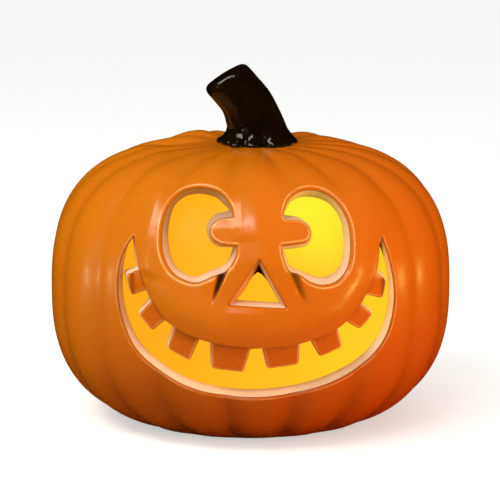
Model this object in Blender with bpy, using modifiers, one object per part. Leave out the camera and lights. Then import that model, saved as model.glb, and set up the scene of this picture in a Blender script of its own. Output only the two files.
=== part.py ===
"""A carved pumpkin lantern: a moulded hollow shell with a grinning face cut through its wall,
four thin glowing films behind the holes, and a stem that leans on the top.

The front faces -Y, +Z is up and the origin is the middle of the flat base. Sizes below are in
millimetres; the meshes are in metres.
"""
import math

import bmesh
import bpy
from mathutils import Vector

MM = 0.001

# The turned body
BODY_RADIUS = 131.0
EQUATOR_HEIGHT = 86.0
UPPER_HEIGHT = 94.7
UPPER_DOME = 2.58
UPPER_SHOULDER = 3.37
LOWER_HEIGHT = 92.5
LOWER_DOME = 2.52
LOWER_SHOULDER = 3.1
CROWN_DIP = 3.0
CROWN_DIP_RADIUS = 75.0
BASE_FLAT_RADIUS = 68.0
BASE_ROUNDING = ((76.5, 0.9), (BASE_FLAT_RADIUS, 0.0), (34.0, 0.0))
ON_THE_BASE = 0.01
WALL = 10.0
TURN_STEPS = 108
CAVITY_STEPS = 36
WELD = 0.00001

# The ribs
RIBS = 18
GROOVE_DEPTH = 2.4
GROOVE_DEPTH_AT_ENDS = 4.2
GROOVE_SOFTNESS = 0.16
GROOVE_SHARPNESS = 1.3
GROOVE_STEM_RADIUS = 14.0
GROOVE_FULL_RADIUS = 48.0
GROOVE_BASE_FADE = 6.0
RIB_UNEVENNESS = 0.7
UNEVEN_WAVES = 3.0
UNEVEN_TURN = 0.6
UNEVEN_RISE = 55.0
UNEVEN_BASE_FADE = 12.0
UNEVEN_CROWN_FADE = 60.0
FACE_CENTRE = (0.0, 104.0)
FACE_REACH = (92.0, 68.0)
FACE_EDGE = 1.15
FACE_EDGE_WIDTH = 0.3
FACE_GROOVE_SHARE = 0.12

# The face's low relief: the line each swelling follows, its half width and its height
MUZZLE_LINE = ((-60.0, 162.0), (-69.0, 140.0), (-67.0, 112.0), (-52.0, 94.0), (-25.0, 84.0),
               (0.0, 81.0), (25.0, 84.0), (48.0, 94.0), (62.0, 112.0), (65.0, 138.0), (58.0, 158.0))
MUZZLE_HALF_WIDTH = 21.0
MUZZLE_HEIGHT = 3.4
BRIDGE_LINE = ((-1.0, 166.0), (-1.0, 126.0))
BRIDGE_HALF_WIDTH = 16.0
BRIDGE_HEIGHT = 2.4

# The holes: each point is (x, z) on the outer surface and how far the wall comes in behind it
LEFT_EYE_ROUND = ((-16.5, 150.0, 1.0), (-17.8, 156.0, 4.0), (-24.0, 163.0, 6.0), (-36.0, 165.1, 6.5),
                  (-48.0, 161.8, 6.0), (-56.5, 153.5, 5.5), (-60.3, 140.0, 5.2), (-59.5, 126.5, 5.0),
                  (-53.0, 115.5, 3.2), (-40.5, 110.8, 2.0), (-29.0, 115.2, 2.0), (-20.5, 119.3, 1.8),
                  (-15.6, 127.0, 2.0), (-14.4, 133.3, 2.2))
LEFT_EYE_TAB = ((-14.4, 133.3, 2.2), (-24.5, 134.2, 3.2), (-30.0, 138.0, 1.8), (-30.5, 143.6, 0.8),
                (-25.4, 148.4, 0.6), (-16.5, 150.0, 1.0))
RIGHT_EYE_ROUND = ((13.0, 133.3, 1.5), (13.9, 126.5, 1.4), (17.2, 118.6, 1.2), (23.5, 115.9, 1.0),
                   (30.5, 110.8, 2.6), (38.0, 108.6, 3.2), (47.0, 110.6, 3.6), (54.0, 118.5, 4.2),
                   (56.2, 132.0, 4.2), (54.6, 146.0, 4.6), (48.0, 157.2, 6.0), (38.0, 162.9, 7.0),
                   (27.0, 163.6, 6.6), (18.0, 158.8, 4.5), (14.6, 151.0, 1.8), (15.6, 148.2, 0.2))
RIGHT_EYE_TAB = ((15.6, 148.2, 0.2), (24.5, 147.5, -0.8), (30.4, 143.0, -0.4), (30.6, 137.4, 1.5),
                 (26.5, 134.5, 4.0), (13.0, 133.3, 4.0))
NOSE = ((-1.1, 125.7), (-20.2, 98.1), (14.9, 95.6))
NOSE_BEHIND = ((-1.0, 121.9), (-17.7, 97.2), (11.9, 97.0))
MOUTH_LOWER = ((-76.8, 136.0, 0.8), (-82.4, 127.0, 2.4), (-86.2, 114.5, 3.4), (-87.0, 98.0, 3.8),
               (-83.8, 81.3, 4.0), (-76.0, 65.5, 4.2), (-62.0, 53.2, 4.2), (-42.8, 43.5, 4.2),
               (-20.0, 38.8, 4.0), (5.0, 38.4, 4.0), (30.0, 41.9, 4.0), (52.2, 49.1, 4.0),
               (68.0, 58.6, 3.8), (78.5, 71.0, 3.6), (83.6, 86.0, 2.4), (84.2, 103.0, 1.4),
               (80.6, 121.0, 1.0), (76.0, 134.5, 0.6))
MUZZLE_EDGE = ((76.0, 134.5), (73.5, 122.0), (71.2, 111.0), (60.4, 94.2), (47.5, 80.8), (24.0, 73.0),
               (-3.0, 70.8), (-34.0, 74.8), (-56.0, 84.4), (-69.0, 103.0), (-74.6, 119.0),
               (-76.0, 129.0), (-76.8, 136.0))
TEETH = (((73.2, 112.0), (78.6, 107.8), (76.6, 95.6), (66.0, 99.8)),
         ((62.4, 93.9), (70.4, 86.7), (61.9, 78.2), (52.9, 84.7)),
         ((47.1, 80.6), (50.6, 68.2), (36.5, 63.3), (30.3, 74.8)),
         ((23.5, 72.6), (23.4, 59.4), (4.1, 57.1), (0.8, 71.2)),
         ((-6.5, 70.4), (-10.6, 55.0), (-30.0, 57.1), (-30.4, 74.0)),
         ((-37.6, 75.8), (-43.5, 61.2), (-56.7, 68.1), (-52.4, 82.4)),
         ((-58.6, 86.1), (-66.2, 78.2), (-74.0, 87.4), (-66.6, 97.2)),
         ((-69.6, 104.0), (-78.2, 99.2), (-82.2, 111.8), (-74.0, 115.5)))
MOUTH_TIP_RIGHT = (75.0, 128.0)
MOUTH_TIP_LEFT = ((-75.2, 122.0), (-76.0, 129.0))
TOOTH_CORNER = 1.6
MOUTH_UPPER_DRAFT = 0.6
TOOTH_SETBACK = 2.0
TOOTH_BAND = 20.5
TOOTH_BAND_TAPER = 0.8
MUZZLE_LIP = 0.8
CURVE_STEPS = 2
MITRE_LIMIT = 2.4

# Where the cutters start in front of the wall and end behind it
CUT_FRONT = -160.0
CUT_BACK = -62.0

# The V-shaped crease that runs down from each eye: (x, z) at the eye and at the tip
CREASES = {"left": ((-24.5, 118.5), (-30.5, 100.0)), "right": ((19.6, 118.0), (28.3, 96.5))}
CREASE_RADIUS = 3.2
CREASE_TIP_RADIUS = 0.2
CREASE_SIDES = 12

# The glowing films, just inside the wall
GAP = 0.3
FILM_THICKNESS = 1.0
LEFT_EYE_FILM = ((-36.0, 136.0), (24.0, 27.0))
RIGHT_EYE_FILM = ((33.5, 133.5), (22.5, 27.0))
EYE_FILM_SIDES = 32
NOSE_FILM = ((-1.6, 116.1), (-5.8, 112.6), (-14.5, 99.1), (-19.5, 91.0), (16.0, 91.0), (14.5, 99.0),
             (1.1, 114.5))
MOUTH_FILM_LOWER = ((-76.5, 134.0), (-84.5, 120.0), (-88.0, 103.0), (-85.5, 84.0), (-74.0, 62.0),
                    (-50.0, 46.5), (-25.0, 39.5), (0.0, 38.0), (28.0, 40.5), (55.0, 49.5),
                    (72.0, 63.0), (79.0, 77.0), (81.0, 91.5), (82.3, 102.0), (79.3, 116.0),
                    (75.0, 128.0))
MOUTH_FILM_UPPER = ((70.0, 128.0), (67.0, 112.0), (56.0, 94.0), (40.0, 81.5), (20.0, 76.0),
                    (-5.0, 74.5), (-30.0, 78.0), (-54.0, 90.5), (-66.5, 107.0), (-72.0, 130.0))

# The stem: each section is its centre (x, z), its lean, half width, half depth and lobe depth
STEM_SECTIONS = (((4.6, 173.0), 0.0, 23.0, 22.0, 0.10),
                 ((4.6, 179.5), 0.0, 24.6, 23.4, 0.12),
                 ((4.6, 181.8), 0.0, 24.6, 23.4, 0.12),
                 ((4.4, 185.0), 3.0, 21.6, 20.8, 0.09),
                 ((3.6, 190.1), 8.0, 18.6, 18.4, 0.05),
                 ((1.5, 195.1), 17.0, 17.3, 16.8, 0.04),
                 ((-3.1, 205.1), 26.0, 15.9, 15.4, 0.04),
                 ((-10.6, 215.0), 33.0, 15.5, 15.2, 0.05),
                 ((-15.6, 221.2), 37.0, 15.9, 15.4, 0.05),
                 ((-17.8, 223.9), 37.0, 14.0, 13.4, 0.04),
                 ((-18.8, 225.2), 37.0, 9.0, 8.6, 0.02))
STEM_SIDES = 30
STEM_LOBES = 5
STEM_LOBE_TURN = 20.0
STEM_TWIST = 40.0

SHARP_FROM = 35.0


def clear_scene():
    for item in list(bpy.data.objects):
        bpy.data.objects.remove(item, do_unlink=True)


def collection(name):
    made = bpy.data.collections.new(name)
    bpy.context.scene.collection.children.link(made)
    return made


def material(name, colour, roughness, metallic=0.0, glow=0.0):
    made = bpy.data.materials.new(name)
    made.use_nodes = True
    shader = made.node_tree.nodes["Principled BSDF"]
    shader.inputs["Base Color"].default_value = (*colour, 1.0)
    shader.inputs["Roughness"].default_value = roughness
    shader.inputs["Metallic"].default_value = metallic
    if glow:
        shader.inputs["Emission Color"].default_value = (*colour, 1.0)
        shader.inputs["Emission Strength"].default_value = glow
    return made


def object_from(name, mesh, home):
    made = bpy.data.objects.new(name, mesh)
    home.objects.link(made)
    return made


def as_guide(piece):
    """A guide or cutter is only for the Booleans: it isn't part of the lantern."""
    piece.hide_render = True
    piece.display_type = "WIRE"
    return piece


def smooth_step(value):
    value = min(max(value, 0.0), 1.0)
    return value * value * (3.0 - 2.0 * value)


def body_profile(inset):
    """The turned body's (radius, height) points from the crown to the middle of the base."""
    points = []
    for degrees in range(87, 0, -6):
        angle = math.radians(degrees)
        radius = BODY_RADIUS * math.cos(angle) ** (2.0 / UPPER_SHOULDER)
        height = EQUATOR_HEIGHT + UPPER_HEIGHT * math.sin(angle) ** (2.0 / UPPER_DOME)
        dip = CROWN_DIP * smooth_step(1.0 - radius / CROWN_DIP_RADIUS)
        points.append((radius, height - dip))
    points.append((BODY_RADIUS, EQUATOR_HEIGHT))
    for degrees in range(5, 61, 5):
        angle = math.radians(degrees)
        radius = BODY_RADIUS * math.cos(angle) ** (2.0 / LOWER_SHOULDER)
        height = EQUATOR_HEIGHT - LOWER_HEIGHT * math.sin(angle) ** (2.0 / LOWER_DOME)
        points.append((radius, height))
    points.extend(BASE_ROUNDING)
    if inset:
        points = inset_profile(points, inset)
    top = (0.0, points[0][1] - 0.2)
    return [top] + points + [(0.0, points[-1][1])]


def inset_profile(points, inset):
    moved = []
    for index, (radius, height) in enumerate(points):
        before = points[max(index - 1, 0)]
        after = points[min(index + 1, len(points) - 1)]
        along = Vector((after[0] - before[0], after[1] - before[1])).normalized()
        moved.append((radius + along.y * inset, height - along.x * inset))
    return moved


def turned_body(name, home, inset, steps):
    """Screw the profile round +Z and return the welded, closed mesh as a new object."""
    profile = bpy.data.meshes.new(name + "_profile")
    points = [(radius * MM, 0.0, height * MM) for radius, height in body_profile(inset)]
    profile.from_pydata(points, [(i, i + 1) for i in range(len(points) - 1)], [])
    turning = object_from(name + "_turning", profile, home)
    screw = turning.modifiers.new("turn", "SCREW")
    screw.axis = "Z"
    screw.steps = steps
    screw.render_steps = steps
    screw.use_merge_vertices = True
    screw.merge_threshold = WELD
    bpy.context.view_layer.update()
    turned = turning.evaluated_get(bpy.context.evaluated_depsgraph_get())
    mesh = bpy.data.meshes.new_from_object(turned)
    bpy.data.objects.remove(turning)
    weld = bmesh.new()
    weld.from_mesh(mesh)
    bmesh.ops.remove_doubles(weld, verts=weld.verts, dist=WELD)
    bmesh.ops.recalc_face_normals(weld, faces=weld.faces)
    weld.to_mesh(mesh)
    weld.free()
    return object_from(name, mesh, home)


def stroke(x, z, line, half_width):
    """1 on the line, falling smoothly to 0 at half_width from it."""
    here = Vector((x, z))
    nearest = half_width
    for start, end in zip(line, line[1:]):
        a = Vector(start)
        b = Vector(end)
        share = min(max((here - a).dot(b - a) / (b - a).length_squared, 0.0), 1.0)
        nearest = min(nearest, (here - a.lerp(b, share)).length)
    return smooth_step(1.0 - nearest / half_width)


def face_nearness(x, z):
    """1 well inside the carved face, 0 outside it."""
    across = (x - FACE_CENTRE[0]) / FACE_REACH[0]
    up = (z - FACE_CENTRE[1]) / FACE_REACH[1]
    return smooth_step((FACE_EDGE - math.hypot(across, up)) / FACE_EDGE_WIDTH)


def surface_relief(x, y, z):
    """How far the finished surface stands out from the turned body, ribs and face together."""
    radius = math.hypot(x, y)
    turn = math.atan2(x, -y)
    wave = math.sin(RIBS / 2.0 * turn - math.pi / 2.0)
    in_groove = 1.0 - math.sqrt(wave ** 2 + GROOVE_SOFTNESS ** 2)
    in_groove = max(in_groove, 0.0) ** GROOVE_SHARPNESS
    to_end = abs(z - EQUATOR_HEIGHT) / UPPER_HEIGHT
    depth = GROOVE_DEPTH + (GROOVE_DEPTH_AT_ENDS - GROOVE_DEPTH) * to_end ** 2
    if z > EQUATOR_HEIGHT:
        span = GROOVE_FULL_RADIUS - GROOVE_STEM_RADIUS
        depth *= smooth_step((radius - GROOVE_STEM_RADIUS) / span)
    else:
        depth *= smooth_step(z / GROOVE_BASE_FADE)
    unevenness = RIB_UNEVENNESS * math.sin(UNEVEN_WAVES * turn + UNEVEN_TURN) * math.sin(z / UNEVEN_RISE)
    unevenness *= smooth_step(z / UNEVEN_BASE_FADE) * smooth_step(radius / UNEVEN_CROWN_FADE)
    inside_face = face_nearness(x, z) if y < 0.0 else 0.0
    depth *= 1.0 - (1.0 - FACE_GROOVE_SHARE) * inside_face
    relief = -depth * in_groove - abs(unevenness)
    if y < 0.0:
        relief += MUZZLE_HEIGHT * stroke(x, z, MUZZLE_LINE, MUZZLE_HALF_WIDTH)
        relief += BRIDGE_HEIGHT * stroke(x, z, BRIDGE_LINE, BRIDGE_HALF_WIDTH)
    return relief


def pumpkin_surface(name, home, offset):
    """The ribbed outer surface with its face relief, moved out by offset."""
    piece = turned_body(name, home, 0.0, TURN_STEPS)
    normals = [vertex.normal.copy() for vertex in piece.data.vertices]
    for vertex, normal in zip(piece.data.vertices, normals):
        x, y, z = (vertex.co / MM)[:]
        if z < ON_THE_BASE:
            vertex.co.z -= offset * MM
        else:
            vertex.co += normal * (surface_relief(x, y, z) + offset) * MM
    return piece


def front_depth(x, z, inset):
    """The y of the smooth turned body's front at (x, z), inset under its surface."""
    outline = body_profile(inset)
    radius = 0.0
    for (r_high, z_high), (r_low, z_low) in zip(outline, outline[1:]):
        if z_low <= z <= z_high and z_high > z_low:
            share = (z_high - z) / (z_high - z_low)
            radius = max(radius, r_high + (r_low - r_high) * share)
    return -math.sqrt(max(radius * radius - x * x, 1.0))


def curve_through(anchors, steps):
    """A smooth run through the anchors, which may carry any number of values each."""
    run = []
    last = len(anchors) - 1
    for index in range(last):
        p0 = Vector(anchors[max(index - 1, 0)])
        p1 = Vector(anchors[index])
        p2 = Vector(anchors[index + 1])
        p3 = Vector(anchors[min(index + 2, last)])
        for step in range(steps):
            t = step / steps
            bend = (2.0 * p0 - 5.0 * p1 + 4.0 * p2 - p3) * t * t + (3.0 * (p1 - p2) + p3 - p0) * t ** 3
            run.append(tuple(p1 + 0.5 * ((p2 - p0) * t + bend)))
    run.append(tuple(anchors[-1]))
    return run


def inner_outline(outline):
    """Each point of the outline moved in by its own wall width, mitred at the corners."""
    inner = []
    count = len(outline)
    for index, (x, z, width) in enumerate(outline):
        before = Vector(outline[index - 1][:2])
        after = Vector(outline[(index + 1) % count][:2])
        here = Vector((x, z))
        along = ((here - before).normalized() + (after - here).normalized()) / 2.0
        reach = width / max(along.length_squared, 1.0 / MITRE_LIMIT)
        inner.append((x - along.y * reach, z + along.x * reach))
    return inner


def loft(name, rings, home):
    """A closed solid through rings of points, with flat caps."""
    build = bmesh.new()
    rows = [[build.verts.new(Vector(point) * MM) for point in ring] for ring in rings]
    count = len(rings[0])
    for row, after in zip(rows, rows[1:]):
        for index in range(count):
            following = (index + 1) % count
            build.faces.new((row[index], row[following], after[following], after[index]))
    build.faces.new(list(reversed(rows[0])))
    build.faces.new(rows[-1])
    bmesh.ops.recalc_face_normals(build, faces=build.faces)
    mesh = bpy.data.meshes.new(name)
    build.to_mesh(mesh)
    build.free()
    return object_from(name, mesh, home)


def hole_cutter(name, outline, behind, home):
    """Cuts a hole whose edge is the outline on the surface, narrowing to the one behind the wall."""
    front, outer, inner, back = [], [], [], []
    for (x, z), (x_in, z_in) in zip(outline, behind):
        front.append((x, CUT_FRONT, z))
        outer.append((x, front_depth(x, z, 0.0), z))
        inner.append((x_in, front_depth(x_in, z_in, WALL), z_in))
        back.append((x_in, CUT_BACK, z_in))
    return as_guide(loft(name, (front, outer, inner, back), home))


def prism(name, outline, home):
    """A straight prism along Y through the front wall, for outlines that aren't drafted."""
    front = [(x, CUT_FRONT, z) for x, z in outline]
    back = [(x, CUT_BACK, z) for x, z in outline]
    return as_guide(loft(name, (front, back), home))


def boolean(piece, operation, tool):
    step = piece.modifiers.new(operation.lower(), "BOOLEAN")
    step.operation = operation
    step.solver = "EXACT"
    step.object = tool


def eye_outline(round_part, tab):
    """The round of the eye and the tab that reaches into it, joined at their two corners."""
    return curve_through(round_part, CURVE_STEPS)[:-1] + curve_through(tab, CURVE_STEPS)[:-1]


def tooth_outline(corners):
    """The tooth's four corners, with the two free ones cut off a little."""
    start, first, second, end = (Vector(corner) for corner in corners)
    points = [start]
    for here, before, after in ((first, start, second), (second, first, end)):
        points.append(here + (before - here).normalized() * TOOTH_CORNER)
        points.append(here + (after - here).normalized() * TOOTH_CORNER)
    points.append(end)
    return [tuple(point) for point in points]


def mouth_outline():
    """The lower lip from left to right, then the upper edge back with its eight teeth."""
    lower = curve_through(MOUTH_LOWER, CURVE_STEPS)
    upper = [MOUTH_TIP_RIGHT]
    for corners in TEETH:
        upper.extend(tooth_outline(corners))
    upper.extend(MOUTH_TIP_LEFT)
    return lower + [(x, z, MOUTH_UPPER_DRAFT) for x, z in upper]


def tooth_band_outline():
    """The region of the teeth: just over the muzzle's edge, and a tooth's length below it."""
    edge = curve_through(MUZZLE_EDGE, CURVE_STEPS)
    high = []
    low = []
    middle = len(edge) / 2.0
    for index in range(2, len(edge) - 3):
        before = Vector(edge[index - 1])
        after = Vector(edge[index + 1])
        along = (after - before).normalized()
        reach = TOOTH_BAND * (1.0 - abs(index - middle) / middle) ** TOOTH_BAND_TAPER
        x, z = edge[index]
        high.append((x + along.y * MUZZLE_LIP, z - along.x * MUZZLE_LIP))
        low.append((x - along.y * reach, z + along.x * reach))
    return high + list(reversed(low))


def crease_cutter(name, start, tip, home):
    """A slim cone laid in the surface, fading out at its tip."""
    ends = []
    for x, z in (start, tip):
        relief = surface_relief(x, front_depth(x, z, 0.0), z)
        ends.append(Vector((x, front_depth(x, z, -relief), z)) * MM)
    along = ends[1] - ends[0]
    bpy.ops.mesh.primitive_cone_add(vertices=CREASE_SIDES, radius1=CREASE_RADIUS * MM,
                                    radius2=CREASE_TIP_RADIUS * MM, depth=along.length)
    cutter = bpy.context.object
    cutter.name = name
    cutter.location = (ends[0] + ends[1]) / 2.0
    cutter.rotation_mode = "QUATERNION"
    cutter.rotation_quaternion = along.to_track_quat("Z", "Y")
    for linked in list(cutter.users_collection):
        linked.objects.unlink(cutter)
    home.objects.link(cutter)
    return as_guide(cutter)


def make_shell(parts, guides):
    shell = pumpkin_surface("pumpkin_shell", parts, 0.0)
    shell.data.materials.append(material("satin_orange", (0.72, 0.22, 0.02), 0.42))
    boolean(shell, "DIFFERENCE", as_guide(turned_body("cavity", guides, WALL, CAVITY_STEPS)))
    holes = {"left_eye": eye_outline(LEFT_EYE_ROUND, LEFT_EYE_TAB),
             "right_eye": eye_outline(RIGHT_EYE_ROUND, RIGHT_EYE_TAB),
             "mouth": mouth_outline()}
    for name, outline in holes.items():
        edge = [(x, z) for x, z, width in outline]
        boolean(shell, "DIFFERENCE", hole_cutter(name + "_cutter", edge, inner_outline(outline), guides))
    boolean(shell, "DIFFERENCE", hole_cutter("nose_cutter", NOSE, NOSE_BEHIND, guides))
    for side, (start, tip) in CREASES.items():
        boolean(shell, "DIFFERENCE", crease_cutter(side + "_crease", start, tip, guides))
    set_back_teeth(shell, guides)
    return shell


def set_back_teeth(shell, guides):
    """The teeth's faces lie a step behind the muzzle's edge, following the same surface."""
    tooth_faces = as_guide(pumpkin_surface("tooth_faces", guides, -TOOTH_SETBACK))
    recess = prism("tooth_recess", tooth_band_outline(), guides)
    boolean(recess, "DIFFERENCE", tooth_faces)
    boolean(shell, "DIFFERENCE", recess)


def make_film(name, outline, parts, guides, finish):
    """A thin sheet that lies a gap inside the wall, cut to the outline."""
    film = prism(name, outline, parts)
    film.hide_render = False
    film.display_type = "TEXTURED"
    film.data.materials.append(finish)
    boolean(film, "INTERSECT", guides.objects["film_front"])
    boolean(film, "DIFFERENCE", guides.objects["film_back"])
    return film


def oval(centre, radii):
    turns = [math.tau * index / EYE_FILM_SIDES for index in range(EYE_FILM_SIDES)]
    return [(centre[0] + radii[0] * math.cos(a), centre[1] + radii[1] * math.sin(a)) for a in turns]


def make_films(parts, guides):
    as_guide(turned_body("film_front", guides, WALL + GAP, CAVITY_STEPS))
    as_guide(turned_body("film_back", guides, WALL + GAP + FILM_THICKNESS, CAVITY_STEPS))
    finish = material("glowing_film", (1.0, 0.62, 0.08), 0.6, glow=2.0)
    mouth = curve_through(MOUTH_FILM_LOWER, CURVE_STEPS) + curve_through(MOUTH_FILM_UPPER, CURVE_STEPS)
    make_film("left_eye_film", oval(*LEFT_EYE_FILM), parts, guides, finish)
    make_film("right_eye_film", oval(*RIGHT_EYE_FILM), parts, guides, finish)
    make_film("nose_film", NOSE_FILM, parts, guides, finish)
    make_film("mouth_film", mouth, parts, guides, finish)


def stem_ring(section, twist):
    """One lobed section of the stem, square to its leaning axis."""
    (x, z), lean, half_width, half_depth, lobe = section
    lean = math.radians(lean)
    ring = []
    for index in range(STEM_SIDES):
        turn = math.tau * index / STEM_SIDES
        bulge = 1.0 + lobe * math.cos(STEM_LOBES * (turn - math.radians(STEM_LOBE_TURN)) + twist)
        across = half_width * bulge * math.cos(turn)
        deep = half_depth * bulge * math.sin(turn)
        ring.append((x + across * math.cos(lean), deep, z + across * math.sin(lean)))
    return ring


def make_stem(parts, guides):
    last = len(STEM_SECTIONS) - 1
    rings = []
    for index, section in enumerate(STEM_SECTIONS):
        rings.append(stem_ring(section, math.radians(STEM_TWIST) * index / last))
    stem = loft("stem", rings, parts)
    stem.data.materials.append(material("gloss_brown", (0.018, 0.008, 0.006), 0.18))
    seat = as_guide(pumpkin_surface("stem_seat", guides, GAP))
    boolean(stem, "DIFFERENCE", seat)
    return stem


def shade(piece):
    piece.data.shade_smooth()
    piece.data.set_sharp_from_angle(angle=math.radians(SHARP_FROM))


def main():
    clear_scene()
    parts = collection("carved_pumpkin_lantern")
    guides = collection("guides")
    make_shell(parts, guides)
    make_films(parts, guides)
    make_stem(parts, guides)
    for piece in parts.objects:
        shade(piece)


main()
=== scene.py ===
"""Looks of the carved pumpkin lantern: a fine mesh of the ribbed shell with its carved face, the
glowing films behind the holes, the glossy stem, and the materials, light and camera.

Sizes are in millimetres and turned into metres as each mesh is made. The front faces -Y.
"""
import math

import bmesh
import bpy
import numpy as np
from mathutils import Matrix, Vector
from mathutils.geometry import delaunay_2d_cdt


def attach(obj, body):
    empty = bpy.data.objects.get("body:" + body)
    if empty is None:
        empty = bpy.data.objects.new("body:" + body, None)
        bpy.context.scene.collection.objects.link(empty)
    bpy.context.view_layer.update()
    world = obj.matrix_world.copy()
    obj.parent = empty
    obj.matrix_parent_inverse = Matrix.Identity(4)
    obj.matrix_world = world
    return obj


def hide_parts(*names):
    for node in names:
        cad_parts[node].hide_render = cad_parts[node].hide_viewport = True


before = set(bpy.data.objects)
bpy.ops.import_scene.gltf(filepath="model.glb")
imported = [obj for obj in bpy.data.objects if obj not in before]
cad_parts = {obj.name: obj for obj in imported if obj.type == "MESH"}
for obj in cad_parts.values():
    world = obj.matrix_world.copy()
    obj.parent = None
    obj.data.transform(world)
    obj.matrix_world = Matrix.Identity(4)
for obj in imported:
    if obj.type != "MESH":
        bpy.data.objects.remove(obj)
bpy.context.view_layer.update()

MM = 0.001

# The turned body
BODY_RADIUS = 131.0
EQUATOR_HEIGHT = 86.0
UPPER_HEIGHT = 94.7
UPPER_DOME = 2.58
UPPER_SHOULDER = 3.37
LOWER_HEIGHT = 92.5
LOWER_DOME = 2.52
LOWER_SHOULDER = 3.1
LOWER_END = 60.0
CROWN_DIP = 3.0
CROWN_DIP_RADIUS = 75.0
BASE_TURN = (75.1, 0.0)
BASE_FLAT_RADIUS = 68.0
WALL = 10.0

# How finely the profile is worked out: its upper and lower curves, the turn onto the base, and
# the even steps along all of it
UPPER_CURVE_STEPS = 900
LOWER_CURVE_STEPS = 500
BASE_TURN_STEPS = 40
PROFILE_STEPS = 1400

# The ribs: their grooves are nearly flat in the face and shallower on the brow, most of all its left
RIBS = 18
GROOVE_DEPTH = 2.4
GROOVE_DEPTH_AT_ENDS = 3.6
GROOVE_SOFTNESS = 0.16
GROOVE_SHARPNESS = 1.3
GROOVE_STEM_RADIUS = 20.0
GROOVE_FULL_RADIUS = 66.0
GROOVE_BASE_FADE = 6.0
RIB_UNEVENNESS = 0.7
UNEVEN_WAVES = 3.0
UNEVEN_TURN = 0.6
UNEVEN_RISE = 55.0
UNEVEN_BASE_FADE = 12.0
UNEVEN_CROWN_FADE = 60.0
FACE_CENTRE = (0.0, 104.0)
FACE_REACH = (92.0, 61.0)
FACE_EDGE = 1.15
FACE_EDGE_WIDTH = 0.3
FACE_GROOVE_SHARE = 0.10
BROW_FROM = 118.0
BROW_FULL = 160.0
BROW_GROOVE_SHARE = (0.62, 0.95)
BROW_REACH = 90.0
BROW_FRONT_FADE = 60.0

# Swellings of the face: the line each one follows, its half width and its height
SWELLINGS = {
    "muzzle": (((-60.0, 162.0), (-69.0, 140.0), (-67.0, 112.0), (-52.0, 94.0), (-25.0, 84.0),
                (0.0, 81.0), (25.0, 84.0), (48.0, 94.0), (62.0, 112.0), (65.0, 138.0),
                (58.0, 158.0)), 21.0, 3.4),
    "bridge": (((-1.0, 166.0), (-1.0, 126.0)), 16.0, 2.4),
}

# Flanks of the face: a crest line, how wide it slopes on its left, its height, and how far the
# height takes to fade on its right
FLANKS = (
    (((-69.8, 112.0), (-68.0, 128.0), (-65.5, 139.0), (-61.5, 151.0), (-56.0, 164.0)), 8.0, 1.9, 20.0),
    (((-11.4, 134.0), (-11.2, 146.0), (-11.4, 155.0), (-12.2, 166.0)), 8.5, 1.7, 22.0),
    (((-32.0, 142.4), (-20.0, 143.8), (-8.0, 143.4)), 25.0, 1.1, 8.0),
    (((-24.0, 94.4), (-10.0, 93.6), (4.0, 93.0)), 4.2, 1.1, 12.0),
)
FLANK_RISE = 1.5
FLANK_END_FADE = 6.0

# Lumps of the crown: the place (x, y), how far it reaches and its height
CROWN_LUMPS = (((-30.0, 40.0), 30.0, 3.6), ((-52.0, 8.0), 24.0, -2.4), ((40.0, 40.0), 26.0, 2.0),
               ((-12.0, -44.0), 20.0, 0.8), ((24.0, -48.0), 18.0, 0.8))

# The holes: each point is (x, z) on the outer surface and how far the wall comes in behind it,
# and for the nose also how much of the corner is cut off round
LEFT_EYE_ROUND = ((-16.5, 150.0, 1.0), (-17.8, 156.0, 4.0), (-24.0, 163.0, 6.0), (-36.0, 165.1, 6.5),
                  (-48.0, 161.8, 6.0), (-56.5, 153.5, 5.5), (-60.3, 140.0, 5.2), (-59.5, 126.5, 5.0),
                  (-53.0, 115.5, 3.2), (-40.5, 110.8, 2.0), (-29.0, 115.2, 2.0), (-20.5, 119.3, 1.8),
                  (-15.6, 127.0, 2.0), (-14.4, 133.3, 2.2))
LEFT_EYE_TAB = ((-14.4, 133.3, 2.2), (-24.5, 134.2, 3.2), (-30.0, 138.0, 1.8), (-30.5, 143.6, 0.8),
                (-25.4, 148.4, 0.6), (-16.5, 150.0, 1.0))
RIGHT_EYE_ROUND = ((13.0, 133.3, 1.5), (13.9, 126.5, 1.4), (17.2, 118.6, 1.2), (23.5, 115.9, 1.0),
                   (30.5, 110.8, 2.6), (38.0, 108.6, 3.2), (47.0, 110.6, 3.6), (54.0, 118.5, 4.2),
                   (56.2, 132.0, 4.2), (54.6, 146.0, 4.6), (48.0, 157.2, 6.0), (38.0, 162.9, 7.0),
                   (27.0, 163.6, 6.6), (18.0, 158.8, 4.5), (14.6, 151.0, 1.8), (15.6, 148.2, 0.2))
RIGHT_EYE_TAB = ((15.6, 148.2, 0.2), (24.5, 147.5, -0.8), (30.4, 143.0, -0.4), (30.6, 137.4, 1.5),
                 (26.5, 134.5, 4.0), (13.0, 133.3, 4.0))
NOSE = ((-1.1, 126.3, 2.5, 1.1), (-6.0, 119.2, 3.8, 0.0), (-14.0, 107.5, 4.6, 0.0), (-20.5, 98.0, 3.6, 1.1),
        (-14.0, 97.6, 1.9, 0.0), (8.0, 96.1, 1.9, 0.0), (15.2, 95.5, 2.2, 1.1), (10.0, 105.2, 2.3, 0.0))
MOUTH_LOWER = ((-76.8, 136.0, 0.8), (-82.4, 127.0, 2.4), (-86.2, 114.5, 3.4), (-87.0, 98.0, 3.8),
               (-83.8, 81.3, 4.0), (-76.0, 65.5, 4.2), (-62.0, 53.2, 4.2), (-42.8, 43.5, 4.2),
               (-20.0, 38.8, 4.0), (5.0, 38.4, 4.0), (30.0, 41.9, 4.0), (52.2, 49.1, 4.0),
               (68.0, 58.6, 3.8), (78.5, 71.0, 3.8), (83.6, 86.0, 3.6), (84.2, 103.0, 3.4),
               (80.6, 121.0, 2.6), (76.0, 134.5, 0.8))
MOUTH_TIP_RIGHT = (75.0, 128.0)
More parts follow.
